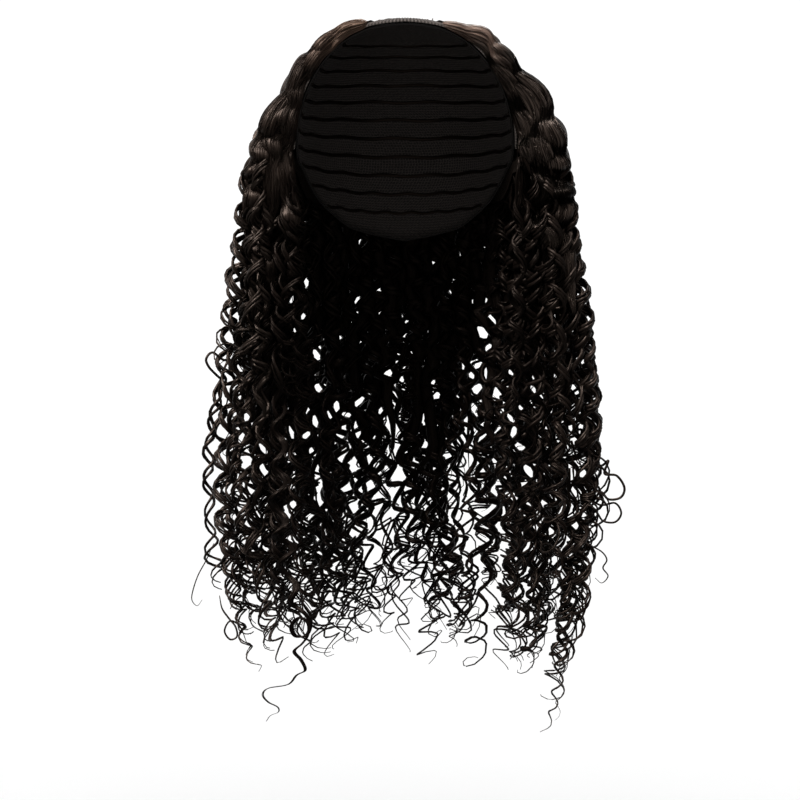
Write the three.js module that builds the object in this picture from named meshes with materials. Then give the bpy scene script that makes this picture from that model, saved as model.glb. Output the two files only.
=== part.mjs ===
// A curly u-part wig: a stretch cap with a U-shaped parting opening at the top
// front, an elastic band along that opening, hair laid over the crown, and
// curled locks that hang at both sides and down the back.
// Millimetres. +Z is up, the wearer faces -Y. Left is -X and right is +X, as
// seen from the front. The origin is the top of the cap's inside.
import * as THREE from 'three';

// ---- inside shape of the cap, a squared ellipsoid -----------------------------------
const HEAD_HALF_BREADTH = 77;
const HEAD_FRONT = 95;            // centre to front
const HEAD_BACK = 98;             // centre to back
const HEAD_TOP = 91;              // centre to top
const HEAD_LOW = 120;             // centre to the low end
const HEAD_POWER = 2.15;          // 2 is an ellipsoid, more is squarer

// ---- walls and gaps -------------------------------------------------------------
const CAP_WALL = 1.2;
const BAND_LIFT = 1.9;            // band's underside above the inside shape
const BAND_TOP = 3.7;             // band's outside above the inside shape
const BAND_WIDE_DEG = 6;          // band's width, as an angle at the centre
const BAND_END_TURN = 90;         // band runs from side to side
const HAIR_LIFT = 2.0;            // crown hair's underside above the inside shape
const HAIR_LIFT_ON_BAND = 5.3;
const LIFT_RAMP_DEG = 17;         // how early the hair rises to clear the band
const NODE_GAP = 1.0;             // between neighbouring locks

// ---- where the crown hair ends and the hanging locks begin ----------------------
const SPLIT_Z = -112;
const LOCK_TOP_Z = SPLIT_Z - 0.8;

// The cap's edge. turn: degrees from straight ahead (0) over the side (90) to the
// back (180). polar: degrees from straight up, at the centre.
const CAP_EDGE = [
  { turn: 0, polar: 24.5 },
  { turn: 37, polar: 27.8 },
  { turn: 55, polar: 36 },
  { turn: 68, polar: 52 },
  { turn: 76, polar: 67 },
  { turn: 84, polar: 80 },
  { turn: 92, polar: 93 },
  { turn: 112, polar: 98 },
  { turn: 132, polar: 111 },
  { turn: 152, polar: 120 },
  { turn: 180, polar: 124 },
];

const BARE_BAND_TURN = 35;        // hair leaves the band bare up to here

// The crown hair's front edge, which leaves the middle of the band bare.
const HAIR_EDGE = [
  { turn: 0, polar: 13 },
  { turn: BARE_BAND_TURN, polar: 14.5 },
  { turn: BARE_BAND_TURN + 5, polar: 29 },
  { turn: 55, polar: 37 },
  { turn: 66, polar: 53 },
  { turn: 72, polar: 72 },
  { turn: 77, polar: 104 },
];
const HAIR_FRONT_TURN = 77;       // from here on the hair reaches the split level

// Thickness of the crown hair by polar angle: ahead, at both sides and at the back.
const CROWN_THICKNESS = [
  { polar: 3, ahead: 1.3, left: 1.3, right: 1.3, back: 1.6 },
  { polar: 13, ahead: 1.3, left: 1.8, right: 1.8, back: 4 },
  { polar: 22, ahead: 1.4, left: 2.5, right: 2.5, back: 8 },
  { polar: 29, ahead: 2, left: 5, right: 4.2, back: 11 },
  { polar: 37, ahead: 4, left: 6.5, right: 7, back: 14 },
  { polar: 50, ahead: 8, left: 10.5, right: 10.8, back: 18 },
  { polar: 63, ahead: 10, left: 12.5, right: 19, back: 22 },
  { polar: 70, ahead: 12, left: 16, right: 25, back: 24 },
  { polar: 79, ahead: 16, left: 23, right: 31, back: 26 },
  { polar: 90, ahead: 20, left: 29, right: 35, back: 28 },
  { polar: 106, ahead: 24, left: 38, right: 40, back: 31 },
];
const CROWN_PARTS = [
  { name: 'crown_hair_left', from: -105, to: -0.4, lobes: 9 },
  { name: 'crown_hair_right', from: 0.4, to: 105, lobes: 9 },
  { name: 'crown_hair_back_right', from: 105.4, to: 154.7, lobes: 4 },
  { name: 'crown_hair_back_middle', from: 155.1, to: 204.9, lobes: 4 },
  { name: 'crown_hair_back_left', from: 205.3, to: 254.6, lobes: 4 },
];
const CROWN_TOP_POLAR = 3;
const CROWN_ROWS = 9;
const LOBE_STEPS = 2;
const LOBE_DEPTH = 0.2;           // grooves between locks, as a share of thickness
const CROWN_WAVES = 3;            // waves from the parting to the split level
const CROWN_WAVE_DEPTH = 0.1;

// Plan of the hanging hair at falling levels: reach to the inside and the outside
// at the sides (from the middle plane) and at the back (from the centre),
// and how far the whole plan moves back.
const CURTAIN = [
  { z: -112, side_in: 79.6, side_out: 118, back_in: 100.6, back_out: 130, shift: 0 },
  { z: -170, side_in: 76, side_out: 128, back_in: 97, back_out: 138, shift: 4 },
  { z: -240, side_in: 72, side_out: 141, back_in: 91, back_out: 142, shift: 10 },
  { z: -330, side_in: 71, side_out: 146, back_in: 86, back_out: 141, shift: 14 },
  { z: -430, side_in: 73, side_out: 133, back_in: 84, back_out: 132, shift: 16 },
  { z: -520, side_in: 76, side_out: 106, back_in: 84, back_out: 112, shift: 16 },
];
// Two layers of locks, numbered from the left front over the back to the right
// front. near, far: share of the curtain's depth, from its inside to its outside.
const LAYERS = [
  { name: 'outer_lock', count: 16, near: 0.5, far: 1.0, tip: -484 },
  { name: 'inner_lock', count: 12, near: 0.0, far: 0.5, tip: -452 },
];
const CURTAIN_FRONT_TURN = 78;
const LOCK_STEPS = 16;
const LOCK_SIDES = 6;
const LOCK_ROUND = 3.2;           // squareness of a lock's section
const LOCK_PINCH = 0.14;          // every other section is pinched, like a curl
const LOCK_TIP = 0.34;            // size left at the tip
const LOCK_TAPER_FROM = 0.6;
// The hem: how much longer (+) or shorter (-) locks are, by turn.
const HEM = [
  { turn: 78, longer: 4 },
  { turn: 95, longer: 18 },
  { turn: 120, longer: -8 },
  { turn: 150, longer: 8 },
  { turn: 180, longer: -6 },
];
const HEM_RAGGED = 14;

// The one thin lock that hangs apart at the front left, as an S-wave.
const FRONT_LOCK = [
  { z: -238, x: -90, y: -34, radius: 4.0, wave: 2.0 },
  { z: -300, x: -87, y: -38, radius: 4.4, wave: 5.0 },
  { z: -372, x: -85, y: -44, radius: 4.0, wave: 5.4 },
  { z: -430, x: -77, y: -50, radius: 3.2, wave: 5.0 },
  { z: -460, x: -80, y: -54, radius: 2.2, wave: 6.0 },
  { z: -496, x: -95, y: -56, radius: 1.2, wave: 3.0 },
];
const FRONT_LOCK_PITCH = 25;
const FRONT_LOCK_STEP = 5;
const FRONT_LOCK_SIDES = 5;

// ---- small helpers ----------------------------------------------------------------
const RAD = Math.PI / 180;

function look(table, key, at, column) {
  const first = table[0];
  const last = table[table.length - 1];
  const up = first[key] < last[key];
  if (up ? at <= first[key] : at >= first[key]) return first[column];
  for (let i = 1; i < table.length; i++) {
    const a = table[i - 1];
    const b = table[i];
    if (up ? at <= b[key] : at >= b[key]) {
      return a[column] + (b[column] - a[column]) * (at - a[key]) / (b[key] - a[key]);
    }
  }
  return last[column];
}

function foldedTurn(turn) {
  const t = Math.abs(((turn + 180) % 360 + 360) % 360 - 180);
  return t;
}

function onHead(turnDeg, polarDeg, lift) {
  const t = turnDeg * RAD;
  const p = polarDeg * RAD;
  const d = new THREE.Vector3(Math.sin(p) * Math.sin(t), -Math.sin(p) * Math.cos(t), Math.cos(p));
  const ax = HEAD_HALF_BREADTH + lift;
  const ay = (d.y < 0 ? HEAD_FRONT : HEAD_BACK) + lift;
  const az = (d.z > 0 ? HEAD_TOP : HEAD_LOW) + lift;
  const sum = Math.pow(Math.abs(d.x) / ax, HEAD_POWER)
    + Math.pow(Math.abs(d.y) / ay, HEAD_POWER)
    + Math.pow(Math.abs(d.z) / az, HEAD_POWER);
  return d.multiplyScalar(Math.pow(sum, -1 / HEAD_POWER)).add(new THREE.Vector3(0, 0, -HEAD_TOP));
}

function solid(points, faces) {
  const g = new THREE.BufferGeometry();
  const flat = [];
  for (const v of points) flat.push(v.x, v.y, v.z);
  g.setAttribute('position', new THREE.Float32BufferAttribute(flat, 3));
  g.setIndex(faces);
  g.computeVertexNormals();
  return g;
}

// A solid through a row of closed sections, each a list of points.
function loft(rings) {
  const n = rings[0].length;
  const points = rings.flat();
  const faces = [];
  for (let i = 0; i + 1 < rings.length; i++) {
    for (let k = 0; k < n; k++) {
      const a = i * n + k;
      const b = i * n + (k + 1) % n;
      faces.push(a, b, b + n, a, b + n, a + n);
    }
  }
  for (const end of [0, rings.length - 1]) {
    const middle = new THREE.Vector3();
    for (const v of rings[end]) middle.addScaledVector(v, 1 / n);
    const m = points.length;
    points.push(middle);
    for (let k = 0; k < n; k++) {
      const a = end * n + k;
      const b = end * n + (k + 1) % n;
      if (end === 0) faces.push(m, b, a);
      else faces.push(m, a, b);
    }
  }
  return solid(points, faces);
}

// A wall between two grids of the same size, [column][row]. turned: the other
// diagonal splits each cell.
function wall(outside, inside, turned) {
  const cols = outside.length;
  const rows = outside[0].length;
  const points = [...outside.flat(), ...inside.flat()];
  const half = cols * rows;
  const out = (i, j) => i * rows + j;
  const inn = (i, j) => half + i * rows + j;
  const faces = [];
  const quad = (a, b, c, d) => {
    if (turned) faces.push(b, c, d, b, d, a);
    else faces.push(a, b, c, a, c, d);
  };
  for (let i = 0; i + 1 < cols; i++) {
    for (let j = 0; j + 1 < rows; j++) {
      quad(out(i, j), out(i, j + 1), out(i + 1, j + 1), out(i + 1, j));
      quad(inn(i, j), inn(i + 1, j), inn(i + 1, j + 1), inn(i, j + 1));
    }
    quad(out(i, 0), out(i + 1, 0), inn(i + 1, 0), inn(i, 0));
    quad(out(i + 1, rows - 1), out(i, rows - 1), inn(i, rows - 1), inn(i + 1, rows - 1));
  }
  for (let j = 0; j + 1 < rows; j++) {
    quad(out(0, j + 1), out(0, j), inn(0, j), inn(0, j + 1));
    quad(out(cols - 1, j), out(cols - 1, j + 1), inn(cols - 1, j + 1), inn(cols - 1, j));
  }
  return solid(points, faces);
}

// ---- the cap ------------------------------------------------------------------------
const CAP_COLUMNS = 40;
const CAP_ROWS = 8;

function makeCap() {
  const points = [];
  const faces = [];
  const sheet = (lift) => {
    const start = points.length;
    points.push(onHead(0, 0, lift));
    for (let j = 1; j <= CAP_ROWS; j++) {
      for (let i = 0; i < CAP_COLUMNS; i++) {
        const turn = i * 360 / CAP_COLUMNS;
        const edge = look(CAP_EDGE, 'turn', foldedTurn(turn), 'polar');
        points.push(onHead(turn, edge * j / CAP_ROWS, lift));
      }
    }
    return start;
  };
  const outer = sheet(CAP_WALL);
  const inner = sheet(0);
  const at = (start, j, i) => start + 1 + (j - 1) * CAP_COLUMNS + i % CAP_COLUMNS;
  for (let i = 0; i < CAP_COLUMNS; i++) {
    faces.push(outer, at(outer, 1, i), at(outer, 1, i + 1));
    faces.push(inner, at(inner, 1, i + 1), at(inner, 1, i));
    for (let j = 1; j < CAP_ROWS; j++) {
      const o = [at(outer, j, i), at(outer, j + 1, i), at(outer, j + 1, i + 1), at(outer, j, i + 1)];
      faces.push(o[0], o[1], o[2], o[0], o[2], o[3]);
      const n = [at(inner, j, i), at(inner, j, i + 1), at(inner, j + 1, i + 1), at(inner, j + 1, i)];
      faces.push(n[0], n[1], n[2], n[0], n[2], n[3]);
    }
    const r = [at(outer, CAP_ROWS, i), at(inner, CAP_ROWS, i), at(inner, CAP_ROWS, i + 1), at(outer, CAP_ROWS, i + 1)];
    faces.push(r[0], r[1], r[2], r[0], r[2], r[3]);
  }
  return solid(points, faces);
}

// ---- the elastic band along the opening ---------------------------------------------
const BAND_STEPS = 40;

function makeBand() {
  const rings = [];
  for (let i = 0; i <= BAND_STEPS; i++) {
    const turn = -BAND_END_TURN + 2 * BAND_END_TURN * i / BAND_STEPS;
    const front = look(CAP_EDGE, 'turn', Math.abs(turn), 'polar') - 0.3;
    const back = front - BAND_WIDE_DEG;
    rings.push([
      onHead(turn, back, BAND_LIFT), onHead(turn, back, BAND_TOP),
      onHead(turn, front, BAND_TOP), onHead(turn, front, BAND_LIFT),
    ]);
  }
  return loft(rings);
}

// ---- the hair over the crown -----------------------------------------------------------
function crownThickness(turn, polar) {
  const t = foldedTurn(turn);
  const side = look(CROWN_THICKNESS, 'polar', polar, turn < 0 || turn > 180 ? 'left' : 'right');
  if (t < 60) {
    const ahead = look(CROWN_THICKNESS, 'polar', polar, 'ahead');
    return ahead + (side - ahead) * Math.min(1, Math.max(0, (t - BARE_BAND_TURN) / 12));
  }
  const back = look(CROWN_THICKNESS, 'polar', polar, 'back');
  const k = Math.min(1, Math.max(0, (t - 90) / 90));
  return side + (back - side) * k;
}

// The polar angle at which a surface above the inside shape meets the split level.
function splitPolar(turn, liftAt) {
  let lo = 60;
  let hi = 125;
  for (let i = 0; i < 30; i++) {
    const mid = (lo + hi) / 2;
    if (onHead(turn, mid, liftAt(mid)).z > SPLIT_Z) lo = mid;
    else hi = mid;
  }
  return (lo + hi) / 2;
}

function makeCrown(part) {
  const cols = part.lobes * LOBE_STEPS;
  const outside = [];
  const inside = [];
  for (let i = 0; i <= cols; i++) {
    const turn = part.from + (part.to - part.from) * i / cols;
    const t = foldedTurn(turn);
    const groove = 1 - LOBE_DEPTH * (i % LOBE_STEPS === 0 ? 1 : 0);
    const edge = look(HAIR_EDGE, 'turn', t, 'polar');
    const capEdge = look(CAP_EDGE, 'turn', t, 'polar');
    const under = (polar) => {
      const near = Math.min(1, Math.max(0, (polar - (capEdge - BAND_WIDE_DEG - LIFT_RAMP_DEG)) / 4));
      const beside = Math.min(1, Math.max(0, (BAND_END_TURN + LIFT_RAMP_DEG - t) / 4));
      const bare = Math.min(1, Math.max(0, (t - BARE_BAND_TURN + 9) / 7));
      return HAIR_LIFT + (HAIR_LIFT_ON_BAND - HAIR_LIFT) * near * beside * bare;
    };
    const over = (polar, f) => {
      const wave = 1 + CROWN_WAVE_DEPTH * Math.sin(f * CROWN_WAVES * 2 * Math.PI) * f;
      const border = t < HAIR_FRONT_TURN && f > 0.99 ? 0.55 : 1;
      return under(polar) + crownThickness(turn, polar) * groove * wave * border;
    };
    const full = t >= HAIR_FRONT_TURN;
    const endIn = full ? splitPolar(turn, under) : edge;
    const endOut = full ? splitPolar(turn, (p) => over(p, 1)) : edge;
    const colOut = [];
    const colIn = [];
    for (let j = 0; j <= CROWN_ROWS; j++) {
      const f = j / CROWN_ROWS;
      const pi = CROWN_TOP_POLAR + (endIn - CROWN_TOP_POLAR) * f;
      const po = CROWN_TOP_POLAR + (endOut - CROWN_TOP_POLAR) * f;
      colIn.push(onHead(turn, pi, under(pi)));
      colOut.push(onHead(turn, po, over(po, f)));
    }
    outside.push(colOut);
    inside.push(colIn);
  }
  return wall(outside, inside, part.from > 0 && part.to < 180);
}

// ---- the hanging locks --------------------------------------------------------------------
function onCurtain(turnDeg, depth, z) {
  const side = look(CURTAIN, 'z', z, 'side_in') * (1 - depth) + look(CURTAIN, 'z', z, 'side_out') * depth;
  const shift = look(CURTAIN, 'z', z, 'shift');
  const back = look(CURTAIN, 'z', z, 'back_in') * (1 - depth) + look(CURTAIN, 'z', z, 'back_out') * depth - shift;
  const t = turnDeg * RAD;
  return new THREE.Vector3(side * Math.sin(t), shift - back * Math.cos(t), z);
}

function makeLock(layer, index) {
  const span = 360 - 2 * CURTAIN_FRONT_TURN;
  const wide = span / layer.count;
  const turn = -CURTAIN_FRONT_TURN - wide * (index + 0.5);
  const ragged = HEM_RAGGED * Math.cos(index * 2.4 + layer.count);
  const length = LOCK_TOP_Z - layer.tip + look(HEM, 'turn', foldedTurn(turn), 'longer') + ragged;
  const rings = [];
  for (let i = 0; i <= LOCK_STEPS; i++) {
    const f = i / LOCK_STEPS;
    const z = LOCK_TOP_Z - length * f;
    const middle = (layer.near + layer.far) / 2;
    const here = onCurtain(turn, middle, z);
    const halfWide = here.distanceTo(onCurtain(turn + wide / 2, middle, z)) - NODE_GAP / 2;
    const halfDeep = onCurtain(turn, layer.near, z).distanceTo(onCurtain(turn, layer.far, z)) / 2 - NODE_GAP / 2;
    const pinch = (i + index) % 2 === 0 ? 1 : 1 - LOCK_PINCH;
    const late = Math.max(0, (f - LOCK_TAPER_FROM) / (1 - LOCK_TAPER_FROM));
    const taper = 1 - (1 - LOCK_TIP) * late * late;
    const along = onCurtain(turn + 0.5, middle, z).sub(onCurtain(turn - 0.5, middle, z)).normalize();
    const across = onCurtain(turn, layer.far, z).sub(onCurtain(turn, layer.near, z)).normalize();
    const ring = [];
    for (let k = 0; k < LOCK_SIDES; k++) {
      const a = (k + 0.5) * 2 * Math.PI / LOCK_SIDES;
      const c = Math.cos(a);
      const s = Math.sin(a);
      const e = 2 / LOCK_ROUND;
      const u = Math.sign(c) * Math.pow(Math.abs(c), e) * halfWide * pinch * taper;
      const v = Math.sign(s) * Math.pow(Math.abs(s), e) * halfDeep * pinch * taper;
      ring.push(here.clone().addScaledVector(along, u).addScaledVector(across, v));
    }
    rings.push(ring);
  }
  return loft(rings);
}

function makeFrontLock() {
  const top = FRONT_LOCK[0].z;
  const tip = FRONT_LOCK[FRONT_LOCK.length - 1].z;
  const count = Math.round((top - tip) / FRONT_LOCK_STEP);
  const rings = [];
  for (let i = 0; i <= count; i++) {
    const z = top + (tip - top) * i / count;
    const radius = look(FRONT_LOCK, 'z', z, 'radius');
    const wave = look(FRONT_LOCK, 'z', z, 'wave') * Math.sin((top - z) * 2 * Math.PI / FRONT_LOCK_PITCH);
    const ring = [];
    for (let k = 0; k < FRONT_LOCK_SIDES; k++) {
      const a = k * 2 * Math.PI / FRONT_LOCK_SIDES;
      ring.push(new THREE.Vector3(
        look(FRONT_LOCK, 'z', z, 'x') + wave + radius * Math.cos(a),
        look(FRONT_LOCK, 'z', z, 'y') - radius * Math.sin(a),
        z));
    }
    rings.push(ring);
  }
  return loft(rings);
}

// ---- materials and assembly ------------------------------------------------------------------
const HAIR = { color: 0x1d1615, roughness: 0.42, metalness: 0 };
const NET = { color: 0x17120f, roughness: 0.9, metalness: 0 };
const ELASTIC = { color: 0x5f5550, roughness: 0.85, metalness: 0 };

const wig = new THREE.Group();
wig.name = 'u_part_wig';

function add(name, geometry, look) {
  const mesh = new THREE.Mesh(geometry, new THREE.MeshStandardMaterial(look));
  mesh.name = name;
  wig.add(mesh);
}

add('cap', makeCap(), NET);
add('u_part_band', makeBand(), ELASTIC);
for (const part of CROWN_PARTS) add(part.name, makeCrown(part), HAIR);
for (const layer of LAYERS) {
  for (let i = 0; i < layer.count; i++) {
    add(`${layer.name}_${String(i + 1).padStart(2, '0')}`, makeLock(layer, i), HAIR);
  }
}
add('front_lock', makeFrontLock(), HAIR);

export default wig;
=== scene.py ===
import math

import bpy
import numpy as np
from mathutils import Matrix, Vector


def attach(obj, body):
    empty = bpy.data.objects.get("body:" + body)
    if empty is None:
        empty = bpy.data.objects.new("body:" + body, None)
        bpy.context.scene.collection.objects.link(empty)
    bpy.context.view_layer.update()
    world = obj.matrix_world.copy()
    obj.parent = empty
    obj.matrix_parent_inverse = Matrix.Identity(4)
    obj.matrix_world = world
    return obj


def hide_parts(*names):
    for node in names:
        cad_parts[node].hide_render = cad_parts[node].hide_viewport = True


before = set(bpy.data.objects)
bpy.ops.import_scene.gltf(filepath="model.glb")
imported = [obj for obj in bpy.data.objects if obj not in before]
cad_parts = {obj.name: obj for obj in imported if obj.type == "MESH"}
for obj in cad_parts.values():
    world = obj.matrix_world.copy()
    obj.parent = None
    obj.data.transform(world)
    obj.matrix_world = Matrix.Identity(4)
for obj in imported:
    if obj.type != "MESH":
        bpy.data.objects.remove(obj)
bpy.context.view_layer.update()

MM = 0.001

# ---------------------------------------------------------------------------
# Inside shape of the cap, in millimetres. The origin is the top of its inside.
# ---------------------------------------------------------------------------
IN_HALF_BREADTH = 77.0
IN_FRONT = 95.0
IN_BACK = 98.0
IN_TOP = 91.0
IN_LOW = 120.0
IN_POWER = 2.15

CAP_WALL = 1.2
BAND_LIFT = 1.9
BAND_TOP = 3.7
BAND_WIDE = 6.0  # degrees, seen from the cap's centre
BAND_END_TURN = 90.0
HAIR_LIFT = 2.0
HAIR_LIFT_ON_BAND = 5.3
LIFT_RAMP = 4.0
BARE_TURN = 35.0
SPLIT_Z = -112.0
FRONT_TURN = 78.0

# turn (0 ahead, 90 side, 180 back) and polar angle (0 up) of the cap's edge
CAP_EDGE = np.array(
    [
        (0, 24.5),
        (37, 27.8),
        (55, 36),
        (68, 52),
        (76, 67),
        (84, 80),
        (92, 93),
        (112, 98),
        (132, 111),
        (152, 120),
        (180, 124),
    ],
    float,
)
# turn of the hair's front edge by polar angle
HAIR_EDGE = np.array(
    [(0, 40), (29, 40), (37, 55), (53, 66), (72, 72), (104, 77), (130, 78)], float
)
# polar, ahead, left, right, back
CROWN = np.array(
    [
        (3, 1.3, 1.3, 1.3, 1.6),
        (13, 1.3, 1.8, 1.8, 4),
        (22, 1.4, 2.5, 2.5, 8),
        (29, 2, 5, 4.2, 11),
        (37, 4, 6.5, 7, 14),
        (50, 8, 10.5, 10.8, 18),
        (63, 10, 12.5, 19, 22),
        (70, 12, 16, 25, 24),
        (79, 16, 23, 31, 26),
        (90, 20, 29, 35, 28),
        (106, 24, 38, 40, 31),
    ],
    float,
)
# z, side_in, side_out, back_in, back_out, shift
CURTAIN = np.array(
    [
        (-520, 74, 100, 84, 110, 16),
        (-430, 73, 130, 84, 130, 16),
        (-330, 71, 141, 86, 141, 14),
        (-240, 72, 134, 91, 142, 10),
        (-170, 76, 124, 97, 138, 4),
        (-112, 79.6, 118, 100.6, 130, 0),
    ],
    float,
)


def smooth(x):
    x = np.clip(x, 0.0, 1.0)
    return x * x * (3.0 - 2.0 * x)


def on_cap(turn, polar, lift):
    turn, polar, lift = np.broadcast_arrays(
        np.asarray(turn, float), np.asarray(polar, float), np.asarray(lift, float)
    )
    t, p = np.radians(turn), np.radians(polar)
    d = np.stack([np.sin(p) * np.sin(t), -np.sin(p) * np.cos(t), np.cos(p)], -1)
    ax = IN_HALF_BREADTH + lift
    ay = np.where(d[..., 1] < 0, IN_FRONT, IN_BACK) + lift
    az = np.where(d[..., 2] > 0, IN_TOP, IN_LOW) + lift
    total = (
        (np.abs(d[..., 0]) / ax) ** IN_POWER
        + (np.abs(d[..., 1]) / ay) ** IN_POWER
        + (np.abs(d[..., 2]) / az) ** IN_POWER
    )
    out = d * (total ** (-1.0 / IN_POWER))[..., None]
    out[..., 2] -= IN_TOP
    return out


def cap_edge(turn):
    return np.interp(np.abs(turn), CAP_EDGE[:, 0], CAP_EDGE[:, 1])


def hair_under(turn, polar):
    near = np.clip((polar - (cap_edge(turn) - BAND_WIDE - LIFT_RAMP)) / 4, 0, 1)
    beside = np.clip((BAND_END_TURN + 6 - turn) / 4, 0, 1)
    bare = np.clip((turn - BARE_TURN + 9) / 7, 0, 1)
    return HAIR_LIFT + (HAIR_LIFT_ON_BAND - HAIR_LIFT) * near * beside * bare


def hair_thickness(side, turn, polar):
    col = 2 if side < 0 else 3
    s = np.interp(polar, CROWN[:, 0], CROWN[:, col])
    a = np.interp(polar, CROWN[:, 0], CROWN[:, 1])
    b = np.interp(polar, CROWN[:, 0], CROWN[:, 4])
    k = np.clip((turn - 90) / 90, 0, 1)
    f = np.clip((turn - BARE_TURN) / 12, 0, 1)
    return np.where(turn < 60, a + (s - a) * f, s + (b - s) * k)


def on_curtain(turn, depth, z):
    z = np.asarray(z, float)
    col = lambda i: np.interp(z, CURTAIN[:, 0], CURTAIN[:, i])
    side = col(1) * (1 - depth) + col(2) * depth
    shift = col(5)
    back = col(3) * (1 - depth) + col(4) * depth - shift
    t = np.radians(turn)
    return np.stack([side * np.sin(t), shift - back * np.cos(t), z + 0 * side], -1)


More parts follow.
